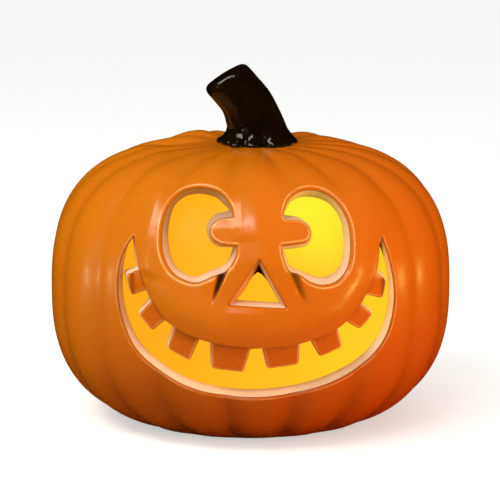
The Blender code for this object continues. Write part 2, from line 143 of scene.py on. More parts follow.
MOUTH_TIP_LEFT = ((-75.2, 122.0), (-76.0, 129.0))
MOUTH_UPPER_DRAFT = 0.6
# The muzzle's lower edge: (x, z) and how far down from it the surface is set back for the teeth
MUZZLE_EDGE = ((76.0, 134.5, 0.5), (73.5, 122.0, 4.5), (71.2, 111.0, 13.0), (60.4, 94.2, 14.8),
               (47.5, 80.8, 17.0), (24.0, 73.0, 19.5), (-3.0, 70.8, 20.5), (-34.0, 74.8, 20.0),
               (-56.0, 84.4, 17.0), (-69.0, 103.0, 13.5), (-74.6, 119.0, 9.5), (-76.0, 129.0, 2.0),
               (-76.8, 136.0, 0.3))
TEETH = (((73.2, 112.0), (78.6, 107.8), (76.6, 95.6), (66.0, 99.8)),
         ((62.4, 93.9), (70.4, 86.7), (61.9, 78.2), (52.9, 84.7)),
         ((47.1, 80.6), (50.6, 68.2), (36.5, 63.3), (30.3, 74.8)),
         ((23.5, 72.6), (23.4, 59.4), (4.1, 57.1), (0.8, 71.2)),
         ((-6.5, 70.4), (-10.6, 55.0), (-30.0, 57.1), (-30.4, 74.0)),
         ((-37.6, 75.8), (-43.5, 61.2), (-56.7, 68.1), (-52.4, 82.4)),
         ((-58.6, 86.1), (-66.2, 78.2), (-74.0, 87.4), (-66.6, 97.2)),
         ((-69.6, 104.0), (-78.2, 99.2), (-82.2, 111.8), (-74.0, 115.5)))
TOOTH_CORNER = 2.3
TOOTH_SETBACK = 3.4
MUZZLE_LIP = 0.8
MUZZLE_ROUNDING = 1.0

# The step from the muzzle back to the teeth: its width, the share of its run over which it fades
# in at both ends, the rows of mesh beside it, and the painted shade at its foot
STEP_WIDTH = 0.35
STEP_END_FADE = 0.02
STEP_LEAST_REACH = 0.1
STEP_ROWS = (-1.0, -STEP_WIDTH, 0.0, 0.2, 0.5, 1.0, 1.6, 2.4)
STEP_SHADE_PLACE = 0.3
STEP_SHADE_WIDTH = 0.9

# The rounded edge of each hole, the rows of mesh over it as shares of the rounding, and the thin
# line on it of worn pale paint with a painted highlight
EDGE_ROUNDING = {"left_eye": 1.7, "right_eye": 1.7, "nose": 1.5, "mouth": 0.95}
ROUNDING_ROWS = (0.134, 0.5, 0.78, 0.92, 1.06, 1.6)
RIM_PLACE = 0.92
RIM_WIDTH = 0.30
RIM_WEAR_AND_HIGHLIGHT = {"left_eye": 1.0, "right_eye": 0.85, "nose": 0.0, "mouth": 0.55}
RIM_OFF_CREASE = 2.0

# How dark the upper wall of each hole is made by painted shade, and how near a wall is to the nose's orange
# left side
WALL_DARKENING = {"left_eye": 0.85, "right_eye": 0.35, "nose": 0.0, "mouth": 0.0}
ORANGE_SIDE_REACH = 0.4

# The crease that runs down from each eye: (x, z) at the eye and at the tip, its depth at the eye,
# how it narrows and grows shallow, the rows of mesh across it, and how bright the painted highlight on each
# upper edge is
CREASES = (((-22.5, 121.0), (-30.5, 98.0)), ((18.6, 120.5), (28.6, 95.5)))
CREASE_DEPTHS = (6.2, 4.6)
CREASE_HALF_WIDTH = 3.8
CREASE_NARROWING = 0.7
CREASE_TAPER = 1.7
CREASE_ROWS = (0.0, -0.25, 0.25, -0.5, 0.5, -0.75, 0.75, -0.93, 0.93, -1.0, 1.0, -1.08, 1.08)
CREASE_EDGE_HIGHLIGHT = (1.0, 0.0)
CREASE_EDGE_WIDTH = 0.08

# Mesh fineness: the grids round the body, the window of them that the face's own mesh fills, and
# the spacing of its points and how far they keep from each edge
UNROLL_RADIUS = 125.0
UNROLL_REPEATS = 12
SIDEMOST = 0.99
COLUMNS = 360
ROWS = 110
INNER_COLUMNS = 120
INNER_ROWS = 44
TOP_ROWS = 75
INNER_TOP_ROWS = 22
PATCH_TURN = 50.0
PATCH_TOP = 173.0
PATCH_BOTTOM = 24.0
FACE_SPACING = 1.4
FIELD_ROW_SHARE = 0.866
EDGE_SPACING = 0.8
LEAST_SPACING = 0.17
LEAST_SEGMENT = 0.15
ROW_CLEARANCE = 0.9
CREST_ROWS = (0.0, -0.4, 0.4, -1.2, 1.2)
BESIDE_TO_HOLE = 0.15
FIELD_TO_HOLE = 2.9
FIELD_TO_STEP = 3.0
FIELD_TO_CREASE = 4.4
FIELD_TO_CREST = 1.9
FIELD_TO_BORDER = 1.0
WALL_STEPS = (0.0, 0.05, 0.1, 0.15, 0.2, 0.35, 0.55, 0.75, 0.9, 1.0)
CURVE_STEPS = 8
CORNER_STEPS = 6
MITRE_LIMIT = 0.42
ON_THE_LOOP = 0.001
CROSSING_REACH = 16
LEAST_FACING = 0.6
SNAP = 1e-7
WELD = 0.004
NO_LENGTH = 1e-12
PARALLEL = 1e-9

# The shell's finishes, by their place in its list of materials
PAINTED = 0
BARE = 1
HOLLOW = 2

# The stem: each section is its centre (x, z), its lean, half width, half depth, lobe depth, how far
# the toes of its foot part, and how deep the fine ridges along it are; then how the lobes, toes and
# ridges go round it
STEM_SECTIONS = (((4.6, 176.0), 0.0, 22.4, 21.4, 0.06, 0.12, 0.0),
                 ((4.6, 179.0), 0.0, 24.8, 23.6, 0.06, 0.16, 0.0),
                 ((4.6, 181.0), 0.0, 24.2, 23.0, 0.06, 0.16, 0.010),
                 ((4.4, 183.6), 3.0, 21.6, 20.8, 0.06, 0.11, 0.030),
                 ((3.9, 187.2), 6.0, 19.4, 19.0, 0.05, 0.05, 0.050),
                 ((3.1, 191.2), 10.0, 18.2, 17.8, 0.04, 0.015, 0.056),
                 ((1.5, 195.1), 17.0, 17.4, 16.9, 0.04, 0.0, 0.054),
                 ((-2.9, 205.1), 25.0, 16.3, 15.8, 0.04, 0.0, 0.046),
                 ((-9.8, 213.6), 30.0, 15.7, 15.4, 0.05, 0.0, 0.034),
                 ((-14.0, 218.6), 32.0, 15.6, 15.2, 0.05, 0.0, 0.016),
                 ((-15.9, 221.3), 32.0, 14.8, 14.3, 0.04, 0.0, 0.004),
                 ((-16.8, 222.7), 32.0, 12.9, 12.5, 0.03, 0.0, 0.0),
                 ((-17.1, 223.1), 32.0, 10.0, 9.6, 0.02, 0.0, 0.0))
STEM_SIDES = 220
STEM_STEPS = 6
STEM_LOBES = 5
STEM_LOBE_TURN = 20.0
STEM_TWIST = 40.0
STEM_TOES = 11
TOE_SHARPNESS = 0.8
TOE_MIDDLE = 0.75
TOE_UNEVENNESS = 0.45
TOE_UNEVEN_WAVES = 3.0
TOE_UNEVEN_TURN = 0.7
STEM_RIDGES = 12
RIDGE_MIDDLE = 0.5
RIDGE_TWIST = 1.5
RIDGE_UNEVENNESS = 0.5
RIDGE_UNEVEN_WAVES = 2.0
RIDGE_UNEVEN_TURN = 1.0

# Colours, as the shaders take them
SKIN_LEFT = (0.53, 0.150, 0.0003)
# Painted warm light: the right side is redder
SKIN_RIGHT_WARM_LIT = (0.54, 0.108, 0.0003)
SKIN_PATCH = (0.49, 0.108, 0.0003)
# Painted shade in the grooves between the ribs
SKIN_GROOVE_SHADE = (0.34, 0.072, 0.0003)
# Painted shade low down on the body
SKIN_LOW_SHADE_LEFT = (0.40, 0.078, 0.0003)
SKIN_LOW_SHADE_RIGHT = (0.43, 0.046, 0.0003)
# Painted shade in the grooves low down
SKIN_LOW_GROOVE_SHADE = (0.17, 0.022, 0.0003)
SKIN_TOOTH = (0.54, 0.098, 0.0005)
# Skin paint in painted shade: on the edges rolling into the holes, at the foot of the muzzle's step and on
# the walls' front edge
SKIN_PAINT_IN_SHADE = (0.20, 0.050, 0.006)
# Painted shade in the creases
CREASE_SHADE_DARK = (0.045, 0.010, 0.002)
CREASE_SHADE_OLIVE = (0.20, 0.075, 0.004)
# Worn pale paint with a painted highlight on the rims
RIM_CREAM_AND_HIGHLIGHT = (0.92, 0.62, 0.26)
WALL_CREAM = (0.78, 0.54, 0.40)
WALL_PINK = (0.68, 0.41, 0.28)
# Painted shade on the upper walls
WALL_SHADE = (0.34, 0.20, 0.11)
WALL_ORANGE = (0.62, 0.22, 0.04)
# Painted light that makes the right walls paler
WALL_PAINTED_LIGHT = (1.0, 0.82, 0.68)
WALL_DEEP = (0.52, 0.26, 0.14)
INSIDE_LOW = (0.10, 0.015, 0.003)
INSIDE_HIGH = (0.16, 0.030, 0.006)
STEM_DARK = (0.003, 0.0015, 0.0008)
STEM_WARM = (0.009, 0.0045, 0.001)
# The films' painted glow, in place of a lamp inside
GLOW_LEFT = (1.0, 0.40, 0.010)
GLOW_RIGHT = (1.0, 0.62, 0.018)
GLOW_HOT = (1.0, 0.93, 0.035)
FILM_UNLIT = (0.05, 0.02, 0.0)

# Where the skin's colours run, in millimetres across (x) or up (z), how much of each colour shows
# at most, and the spans of the masks over which it comes in
ACROSS_THE_BODY = (-110.0, 120.0)
DOWN_THE_BODY = (125.0, 10.0)
# Painted shade low down, held back on the left flank
LOW_SHADE_SHARE = 0.95
LEFT_FLANK = (-118.0, -75.0)
LEFT_FLANK_SHADE_SHARE = 0.55
# Painted shade in the grooves, stronger lower down
LOW_GROOVES = (65.0, 25.0)
GROOVE_SHADE_SHARES = (0.22, 0.5)
PATCH_SHARE = 0.35
TOOTH_SHARE = 0.5
# Painted shade on the edges that roll into the holes
ROLLED_SPAN = (0.6, 1.0)
ROLLED_SHADE_SHARE = 0.35
BETWEEN_CREASES = (-10.0, 10.0)
# Painted shade in the creases
CREASE_SPAN = (0.05, 0.6)
CREASE_SHADE_SHARE = 0.9
# Painted shade at the foot of the muzzle's step
STEP_SHADE_SHARE = 0.95
FLAKE_SPAN = (0.1, 0.6)
FLAKE_SHARES = (0.35, 1.0)

# The same for the cut walls, whose depth runs from 0 at the front to 1 at the back
# The skin's paint, in painted shade, on the walls' front edge
PAINT_END = (0.12, 0.07)
WALL_BACK = (0.55, 1.0)
WALL_BACK_SHARE = 0.6
# Painted shade on the upper walls
UPPER_WALLS = (105.0, 160.0)
ORANGE_SIDE_SHARE = 0.85
# Painted light on the right walls
RIGHT_WALLS = (58.0, 78.0)
RIGHT_WALL_LIGHT_SHARE = 0.8
INSIDE_RISE = (0.0, 160.0)

# The painted glow of the films, in place of a lamp inside: its run from left to right, and the bright
# spot's middle and reach
GLOW_ACROSS = (-90.0, 90.0)
HOT_SPOT = (26.0, -98.0, 156.0)
HOT_REACH = (55.0, 12.0)
GLOW_CLOUD_SPAN = (0.35, 0.75)
GLOW_CLOUD_SHARE = 0.22

# The sockets of Blender's Mix node that mix two colours
MIX_FACTOR = 0
MIX_FIRST = 6
MIX_SECOND = 7
MIX_RESULT = 2

# The shared effects: the span of a noise that is used, and how the fine scratches lie
NOISE_SPAN = (0.3, 0.7)
SCRATCH_LEAN = (0.0, 0.7, 0.0)
SCRATCH_STRETCH = (1.0, 1.0, 0.25)

# The surround's light at the horizon and overhead, and the floor
AIR_LOW = 0.35
AIR_HIGH = 0.66
FLOOR_REACH = 12000.0
FLOOR_BOUNCE = (0.60, 0.48, 0.36)
FLOOR_PALE = (0.72, 0.72, 0.71)
FLOOR_LIFT = (0.50, 0.50, 0.50)

# The lights: the turn from the front, rise and distance of each, its width and height, its power in
# watts, its colour, and whether the gloss of the skin mirrors it
BODY_MIDDLE = (0.0, 0.0, 100.0)
WHITE = (1.0, 1.0, 1.0)
LIGHTS = {
    "front_softbox": ((-20.0, 34.0, 1700.0), (900.0, 900.0), 4.4, WHITE, False),
    "high_left_softbox": ((-58.0, 50.0, 1200.0), (750.0, 450.0), 9.0, (1.0, 0.93, 0.74), True),
    "left_strip": ((-93.0, -3.0, 1200.0), (80.0, 80.0), 0.5, (0.92, 1.0, 0.56), True),
    "left_fill": ((-80.0, 8.0, 1300.0), (400.0, 400.0), 1.6, WHITE, False),
    "low_left_softbox": ((-50.0, 12.0, 1200.0), (80.0, 300.0), 0.6, (0.95, 1.0, 0.60), True),
    "high_front_strip": ((-14.0, 52.0, 1200.0), (340.0, 140.0), 2.2, WHITE, True),
    "right_softbox": ((46.0, 3.0, 1200.0), (200.0, 170.0), 2.2, (1.0, 0.86, 0.15), True),
    "right_strip": ((88.0, -3.0, 1100.0), (80.0, 80.0), 0.8, (1.0, 0.80, 0.14), True),
    "low_right_softbox": ((60.0, 0.0, 1300.0), (600.0, 160.0), 10.5, (1.0, 0.54, 0.16), False),
}

# The photograph's camera: its rise over the horizon, its turn from the front, its distance and lens
CAMERA_RISE = 11.0
CAMERA_TURN = -3.0
CAMERA_DISTANCE = 1600.0
CAMERA_AIM_HEIGHT = 95.0
SENSOR_WIDTH = 36.0
LENS = 175.76
SHIFT = (-0.0005, 0.03863)


def smooth_step(value):
    value = np.clip(value, 0.0, 1.0)
    return value * value * (3.0 - 2.0 * value)


def profile_table():
    """Even steps down the turned body: arc length, radius, height, and the normal's two parts."""
    upper = np.radians(np.linspace(90.0, 0.0, UPPER_CURVE_STEPS))
    radius_up = BODY_RADIUS * np.clip(np.cos(upper), 0.0, 1.0) ** (2.0 / UPPER_SHOULDER)
    height_up = EQUATOR_HEIGHT + UPPER_HEIGHT * np.sin(upper) ** (2.0 / UPPER_DOME)
    height_up -= CROWN_DIP * smooth_step(1.0 - radius_up / CROWN_DIP_RADIUS)
    lower = np.radians(np.linspace(0.0, LOWER_END, LOWER_CURVE_STEPS))[1:]
    radius_low = BODY_RADIUS * np.cos(lower) ** (2.0 / LOWER_SHOULDER)
    height_low = EQUATOR_HEIGHT - LOWER_HEIGHT * np.sin(lower) ** (2.0 / LOWER_DOME)
    share = np.linspace(0.0, 1.0, BASE_TURN_STEPS)[1:]
    start = (radius_low[-1], height_low[-1])
    ends = (start, BASE_TURN, (BASE_FLAT_RADIUS, 0.0))
    turn_in = [(1.0 - share) ** 2 * ends[0][i] + 2.0 * share * (1.0 - share) * ends[1][i]
               + share ** 2 * ends[2][i] for i in range(2)]
    radius = np.concatenate((radius_up, radius_low, turn_in[0], [0.0]))
    height = np.concatenate((height_up, height_low, turn_in[1], [0.0]))
    along = np.concatenate(([0.0], np.cumsum(np.hypot(np.diff(radius), np.diff(height)))))
    even = np.linspace(0.0, along[-1], PROFILE_STEPS)
    radius = np.interp(even, along, radius)
    height = np.interp(even, along, height)
    d_radius = np.gradient(radius, even)
    d_height = np.gradient(height, even)
    length = np.hypot(d_radius, d_height)
    out, up = -d_height / length, d_radius / length
    out[0], up[0] = 0.0, 1.0
    out[-1], up[-1] = 0.0, -1.0
    return even, radius, height, out, up


PROFILE = profile_table()
PROFILE_END = PROFILE[0][-1]


def turned(turn, along, inset=0.0):
    """Points of the smooth turned body, inset under its surface, and their outward normals."""
    radius, height, out, up = (np.interp(along, PROFILE[0], column) for column in PROFILE[1:])
    points = np.stack(((radius - inset * out) * np.sin(turn), -(radius - inset * out) * np.cos(turn),
                       height - inset * up), axis=-1)
    normals = np.stack((out * np.sin(turn), -out * np.cos(turn), up), axis=-1)
    return points, normals


def distance_to_line(places, line, closed=False):
    """How far each place is from the line, and on which side of it: positive on its left."""
    line = np.asarray(line, dtype=float)[:, :2]
    ends = np.roll(line, -1, axis=0) if closed else line[1:]
    starts = line if closed else line[:-1]
    nearest = np.full(len(places), np.inf)
    side = np.ones(len(places))
    for start, end in zip(starts, ends):
        run = end - start
        off = places - start
        share = np.clip(off @ run / max(run @ run, NO_LENGTH), 0.0, 1.0)
        gap = off - share[:, None] * run
        distance = np.hypot(gap[:, 0], gap[:, 1])
        closer = distance < nearest
        nearest[closer] = distance[closer]
        side[closer] = np.sign(run[0] * off[closer, 1] - run[1] * off[closer, 0] + NO_LENGTH)
    return nearest, side


def inside(places, loop):
    """Which places lie inside the closed loop."""
    loop = np.asarray(loop, dtype=float)[:, :2]
    found = np.zeros(len(places), dtype=bool)
    x, z = places[:, 0], places[:, 1]
    for (x0, z0), (x1, z1) in zip(loop, np.roll(loop, -1, axis=0)):
        crosses = (z0 > z) != (z1 > z)
        with np.errstate(divide="ignore", invalid="ignore"):
            reach = (x1 - x0) * (z - z0) / (z1 - z0) + x0
        found ^= crosses & (x < reach)
    return found


def stroke(places, line, half_width):
    """1 on the line, falling smoothly to 0 at half_width from it."""
    return smooth_step(1.0 - distance_to_line(places, line)[0] / half_width)


def rib_relief(points):
    """The grooves between the ribs and their unevenness, faded in the face."""
    x, y, z = points[:, 0], points[:, 1], points[:, 2]
    radius = np.hypot(x, y)
    turn = np.arctan2(x, -y)
    wave = np.sin(RIBS / 2.0 * turn - math.pi / 2.0)
    in_groove = np.clip(1.0 - np.sqrt(wave ** 2 + GROOVE_SOFTNESS ** 2), 0.0, 1.0) ** GROOVE_SHARPNESS
    to_end = np.abs(z - EQUATOR_HEIGHT) / UPPER_HEIGHT
    depth = GROOVE_DEPTH + (GROOVE_DEPTH_AT_ENDS - GROOVE_DEPTH) * to_end ** 2
    near_stem = smooth_step((radius - GROOVE_STEM_RADIUS) / (GROOVE_FULL_RADIUS - GROOVE_STEM_RADIUS))
    depth = depth * np.where(z > EQUATOR_HEIGHT, near_stem, smooth_step(z / GROOVE_BASE_FADE))
    uneven = RIB_UNEVENNESS * np.sin(UNEVEN_WAVES * turn + UNEVEN_TURN) * np.sin(z / UNEVEN_RISE)
    uneven = uneven * smooth_step(z / UNEVEN_BASE_FADE) * smooth_step(radius / UNEVEN_CROWN_FADE)
    across = (x - FACE_CENTRE[0]) / FACE_REACH[0]
    up = (z - FACE_CENTRE[1]) / FACE_REACH[1]
    in_face = smooth_step((FACE_EDGE - np.hypot(across, up)) / FACE_EDGE_WIDTH) * (y < 0.0)
    depth = depth * (1.0 - (1.0 - FACE_GROOVE_SHARE) * in_face)
    on_brow = smooth_step((z - BROW_FROM) / (BROW_FULL - BROW_FROM))
    on_brow = on_brow * smooth_step(0.5 - y / BROW_FRONT_FADE)
    kept = BROW_GROOVE_SHARE[0] + np.ptp(BROW_GROOVE_SHARE) * smooth_step(x / BROW_REACH)
    depth = depth * (1.0 - (1.0 - kept) * on_brow)
    return -depth * in_groove - np.abs(uneven)


def flank(places, line, slope_width, height, fade_width):
    """A slope that rises to the crest line from its left and fades away on its right."""
    distance, side = distance_to_line(places, line)
    rising = np.clip(1.0 - distance / slope_width, 0.0, 1.0) ** FLANK_RISE
    fading = smooth_step(1.0 - distance / fade_width)
    chord = np.subtract(line[-1], line[0])
    length = np.hypot(*chord)
    along = (places - line[0]) @ chord / length
    to_ends = np.minimum(along, length - along)
    return height * np.where(side > 0.0, rising, fading) * smooth_step(to_ends / FLANK_END_FADE)


def broad_relief(points):
    """Ribs and the face's swellings: how far the surface stands out from the turned body."""
    relief = rib_relief(points)
    front = points[:, 1] < 0.0
    places = points[front][:, (0, 2)]
    for line, half_width, height in SWELLINGS.values():
        relief[front] += height * stroke(places, line, half_width)
    for line, slope_width, height, fade_width in FLANKS:
        relief[front] += flank(places, line, slope_width, height, fade_width)
    for centre, reach, height in CROWN_LUMPS:
        gap = np.hypot(points[:, 0] - centre[0], points[:, 1] - centre[1])
        relief += height * smooth_step(1.0 - gap / reach) * (points[:, 2] > EQUATOR_HEIGHT)
    return relief


def outer_surface(turn, along):
    points, normals = turned(turn, along)
    return points + normals * broad_relief(points)[:, None], normals


def unroll(places):
    """The (turn, along) of the outer surface's points that are seen at each (x, z) from the front."""
    down_radius, down_height = PROFILE[1], PROFILE[2]
    aim = np.array(places, dtype=float)[:, :2]
    for _ in range(UNROLL_REPEATS):
        along = np.interp(-aim[:, 1], -down_height, PROFILE[0])
        radius = np.interp(along, PROFILE[0], down_radius)
        turn = np.arcsin(np.clip(aim[:, 0] / radius, -SIDEMOST, SIDEMOST))
        reached = outer_surface(turn, along)[0][:, (0, 2)]
        aim += np.asarray(places, dtype=float)[:, :2] - reached
    return turn, along


def to_sheet(turn, along):
    """The unrolled sheet on which the mesh is laid out, in millimetres."""
    return np.stack((turn * UNROLL_RADIUS, -along), axis=-1)


def from_sheet(sheet):
    return sheet[:, 0] / UNROLL_RADIUS, -sheet[:, 1]


def curve_through(anchors, steps):
    """A smooth run through the anchors, which may carry any number of values each."""
    run = []
    last = len(anchors) - 1
    for index in range(last):
        p0 = np.array(anchors[max(index - 1, 0)])
        p1 = np.array(anchors[index])
        p2 = np.array(anchors[index + 1])
        p3 = np.array(anchors[min(index + 2, last)])
        for step in range(steps):
            t = step / steps
            bend = (2.0 * p0 - 5.0 * p1 + 4.0 * p2 - p3) * t * t + (3.0 * (p1 - p2) + p3 - p0) * t ** 3
            run.append(tuple(p1 + 0.5 * ((p2 - p0) * t + bend)))
    run.append(tuple(anchors[-1]))
    return run


def rounded_corner(before, corner, after, size):
    """A small curve that cuts the corner off, starting and ending at size from it."""
    before, corner, after = (np.array(point, dtype=float) for point in (before, corner, after))
    start = corner + (before - corner) / np.linalg.norm((before - corner)[:2]) * size
    end = corner + (after - corner) / np.linalg.norm((after - corner)[:2]) * size
    shares = np.linspace(0.0, 1.0, CORNER_STEPS)
    return [tuple((1 - t) ** 2 * start + 2 * t * (1 - t) * corner + t * t * end) for t in shares]


def eye_outline(round_part, tab):
    return curve_through(round_part, CURVE_STEPS)[:-1] + curve_through(tab, CURVE_STEPS)[:-1]


def nose_outline():
    loop = []
    for index, (*point, size) in enumerate(NOSE):
        before, after = NOSE[index - 1][:3], NOSE[(index + 1) % len(NOSE)][:3]
        loop += rounded_corner(before, point, after, size) if size else [tuple(point)]
    return loop


def mouth_outline():
    """The lower lip from left to right, then the upper edge back with its eight teeth."""
    upper = [MOUTH_TIP_RIGHT]
    for start, first, second, end in TEETH:
        upper.append(start)
        upper += rounded_corner(start, first, second, TOOTH_CORNER)
        upper += rounded_corner(first, second, end, TOOTH_CORNER)
        upper.append(end)
    upper += MOUTH_TIP_LEFT
    upper = [(point[0], point[1], MOUTH_UPPER_DRAFT) for point in upper]
    return curve_through(MOUTH_LOWER, CURVE_STEPS) + upper


def resampled(loop, spacing):
    """The closed loop with its long segments divided evenly."""
    points = []
    for start, end in zip(np.asarray(loop), np.roll(np.asarray(loop), -1, axis=0)):
        pieces = max(int(math.ceil(np.linalg.norm((end - start)[:2]) / spacing)), 1)
        points += [start + (end - start) * step / pieces for step in range(pieces)]
    points = np.array(points)
    apart = np.linalg.norm(points[:, :2] - np.roll(points[:, :2], 1, axis=0), axis=1)
    return points[apart > LEAST_SEGMENT]


def loop_normals(loop):
    """The left-hand normal at each point of a closed loop, mitred at its corners."""
    forward = np.roll(loop, -1, axis=0)[:, :2] - loop[:, :2]
    forward /= np.linalg.norm(forward, axis=1)[:, None]
    mean = (forward + np.roll(forward, 1, axis=0)) / 2.0
    length = np.clip((mean ** 2).sum(axis=1), MITRE_LIMIT, None)
    return np.stack((-mean[:, 1], mean[:, 0]), axis=-1) / length[:, None]


def crossing(a, b, c, d):
    """Where the segments a-b and c-d cross, or None."""
    run, other = b - a, d - c
    across = run[0] * other[1] - run[1] * other[0]
    if abs(across) < PARALLEL:
        return None
    gap = c - a
    share = (gap[0] * other[1] - gap[1] * other[0]) / across
    share_other = (gap[0] * run[1] - gap[1] * run[0]) / across
    if 0.0 < share < 1.0 and 0.0 < share_other < 1.0:
        return a + run * share
    return None


def untangled(loop):
    """Where the loop crosses itself within a few points, those points are gathered at the crossing."""
    loop = loop.copy()
    count = len(loop)
    for reach in range(CROSSING_REACH, 1, -1):
        for index in range(count):
            after = (index + reach) % count
            found = crossing(loop[index], loop[(index + 1) % count], loop[after], loop[(after + 1) % count])
            if found is not None:
                for step in range(1, reach + 1):
                    loop[(index + step) % count] = found
    return loop


def hole_loops():
    """Each hole's outline at the surface and the one behind the wall, point for point."""
    outlines = {"left_eye": eye_outline(LEFT_EYE_ROUND, LEFT_EYE_TAB),
                "right_eye": eye_outline(RIGHT_EYE_ROUND, RIGHT_EYE_TAB),
                "nose": nose_outline(),
                "mouth": mouth_outline()}
    loops = {}
    for name, outline in outlines.items():
        outer = resampled(outline, EDGE_SPACING)
        inner = outer[:, :2] + loop_normals(outer) * outer[:, 2:3]
        loops[name] = (outer[:, :2], untangled(inner))
    return loops


def tooth_band():
    """The muzzle's lower edge, and the region under it where the teeth are set back."""
    run = np.array(curve_through(MUZZLE_EDGE, CURVE_STEPS))
    edge, reach = run[:, :2], np.clip(run[:, 2:], STEP_LEAST_REACH, None)
    forward = np.gradient(edge, axis=0)
    forward /= np.linalg.norm(forward, axis=1)[:, None]
    out = np.stack((forward[:, 1], -forward[:, 0]), axis=-1)
    high = edge + out * MUZZLE_LIP
    low = edge - out * reach
    return high, np.concatenate((high, low[::-1]))


class FaceCut:
    """The holes, the muzzle's edge and the creases, laid out on the unrolled sheet."""

    def __init__(self):
        self.loops = {}
        self.behind = {}
        for name, (outer, inner) in hole_loops().items():
            self.loops[name] = to_sheet(*unroll(outer))
            self.behind[name] = inner
        high, band = tooth_band()
        self.muzzle_edge = to_sheet(*unroll(high))
        self.tooth_band = to_sheet(*unroll(band))
        self.creases = [to_sheet(*unroll(crease)) for crease in CREASES]
        self.crests = [to_sheet(*unroll(line)) for line, *_ in FLANKS]

    def lowering(self, sheet):
        """How far the surface drops at the rounded hole edges and in the creases."""
        drop = np.zeros(len(sheet))
        for name, loop in self.loops.items():
            rounding = EDGE_ROUNDING[name]
            distance = distance_to_line(sheet, loop, closed=True)[0]
            distance[distance < ON_THE_LOOP] = 0.0
            short = np.clip(rounding - distance, 0.0, rounding)
            drop = np.maximum(drop, rounding - np.sqrt(rounding ** 2 - short ** 2))
        return np.maximum(drop, self.crease_drop(sheet))

    def crease_drop(self, sheet):
        drop = np.zeros(len(sheet))
        for crease, full_depth in zip(self.creases, CREASE_DEPTHS):
            share = share_along(sheet, crease)
            distance = distance_to_line(sheet, crease)[0]
            depth = full_depth * (1.0 - share ** CREASE_TAPER)
            drop = np.maximum(drop, depth * np.clip(1.0 - distance / crease_width(share), 0.0, 1.0))
        return drop

    def setback(self, sheet):
        """How far the surface is set back under the muzzle's edge, measured along Y."""
        distance, side = distance_to_line(sheet, self.muzzle_edge)
        under = inside(sheet, self.tooth_band)
        sideways = self.muzzle_edge[:, 0]
        place = np.clip((sheet[:, 0] - sideways.min()) / np.ptp(sideways), 0.0, 1.0)
        fade = smooth_step(np.minimum(place, 1.0 - place) / STEP_END_FADE)
        short = np.clip(MUZZLE_ROUNDING - distance, 0.0, MUZZLE_ROUNDING)
        rolled = MUZZLE_ROUNDING - np.sqrt(MUZZLE_ROUNDING ** 2 - short ** 2)
        below = MUZZLE_ROUNDING + (TOOTH_SETBACK - MUZZLE_ROUNDING) * smooth_step(distance / STEP_WIDTH)
        above = np.where(side < 0.0, rolled, 0.0)
        return np.where(under, below, above) * fade


def share_along(places, line):
    """How far along a straight line each place lies: 0 at its start and 1 at its end."""
    start, end = line
    run = end - start
    return np.clip((places - start) @ run / (run @ run), 0.0, 1.0)


def crease_width(share):
    """Half the width of a crease at each share of its length."""
    return CREASE_HALF_WIDTH * (1.0 - CREASE_NARROWING * share)


def patch_window(columns, rows, top_rows, inset=0.0):
    """The part of a grid that the face's own mesh takes the place of: half its columns, and its rows."""
    alongs = np.linspace(0.0, PROFILE_END, rows + 1)
    heights = np.interp(alongs, PROFILE[0], PROFILE[2] - inset * PROFILE[4])
    top = int(np.argmin(np.abs(heights[:top_rows] - (PATCH_TOP - inset / 2.0))))
    bottom = int(np.argmin(np.abs(heights - PATCH_BOTTOM)))
    return int(PATCH_TURN / 360.0 * columns), top, bottom


def rows_beside(line, offsets, closed):
    """Points at each offset beside a line on the sheet: positive offsets are on its right."""
    line = np.asarray(line)
    if closed:
        normals = loop_normals(line)
    else:
        forward = np.gradient(line, axis=0)
        forward /= np.linalg.norm(forward, axis=1)[:, None]
        normals = np.stack((-forward[:, 1], forward[:, 0]), axis=-1)
    return [line - normals * offset for offset in offsets]


def thinned(groups, least):
    """Keeps points in order, leaving out each one that is nearer than least to one kept before."""
    cells = {}
    kept = []
    for points in groups:
        for u, v in points:
            cell = (int(u // least), int(v // least))
            near = (cells.get((cell[0] + i, cell[1] + j)) for i in (-1, 0, 1) for j in (-1, 0, 1))
            if any(other and (other[0] - u) ** 2 + (other[1] - v) ** 2 < least ** 2 for other in near):
                continue
            cells[cell] = (u, v)
            kept.append((u, v))
    return np.array(kept)


def rows_beside_edges(cut):
    """Rows of points beside the holes, the muzzle's edge, the creases and the crests."""
    rows = []
    for name, loop in cut.loops.items():
        offsets = [EDGE_ROUNDING[name] * share for share in ROUNDING_ROWS]
        for offset, row in zip(offsets, rows_beside(loop, offsets, True)):
            clear = np.full(len(row), np.inf)
            for other in cut.loops.values():
                clear = np.minimum(clear, distance_to_line(row, other, closed=True)[0])
            rows.append(row[clear > ROW_CLEARANCE * offset])
    rows += rows_beside(even_line(cut.muzzle_edge, EDGE_SPACING), STEP_ROWS, False)
    for crease in cut.creases:
        line = even_line(crease, EDGE_SPACING)
        across = rows_beside(line, (1.0,), False)[0] - line
        width = crease_width(np.linspace(0.0, 1.0, len(line)))[:, None]
        rows += [line + across * width * share for share in CREASE_ROWS]
    for crest in cut.crests:
        rows += rows_beside(even_line(crest, EDGE_SPACING), CREST_ROWS, False)
    return rows


def even_field(low, high):
    """Points in even, staggered rows over the window."""
    field = []
    heights = np.arange(low[1] + FACE_SPACING, high[1] - FIELD_TO_BORDER, FACE_SPACING * FIELD_ROW_SHARE)
    for row, v in enumerate(heights):
        shift = FACE_SPACING / 2.0 * (row % 2)
        us = np.arange(low[0] + FACE_SPACING + shift, high[0] - FIELD_TO_BORDER, FACE_SPACING)
        field.append(np.stack((us, np.full(len(us), v)), axis=-1))
    return np.concatenate(field)


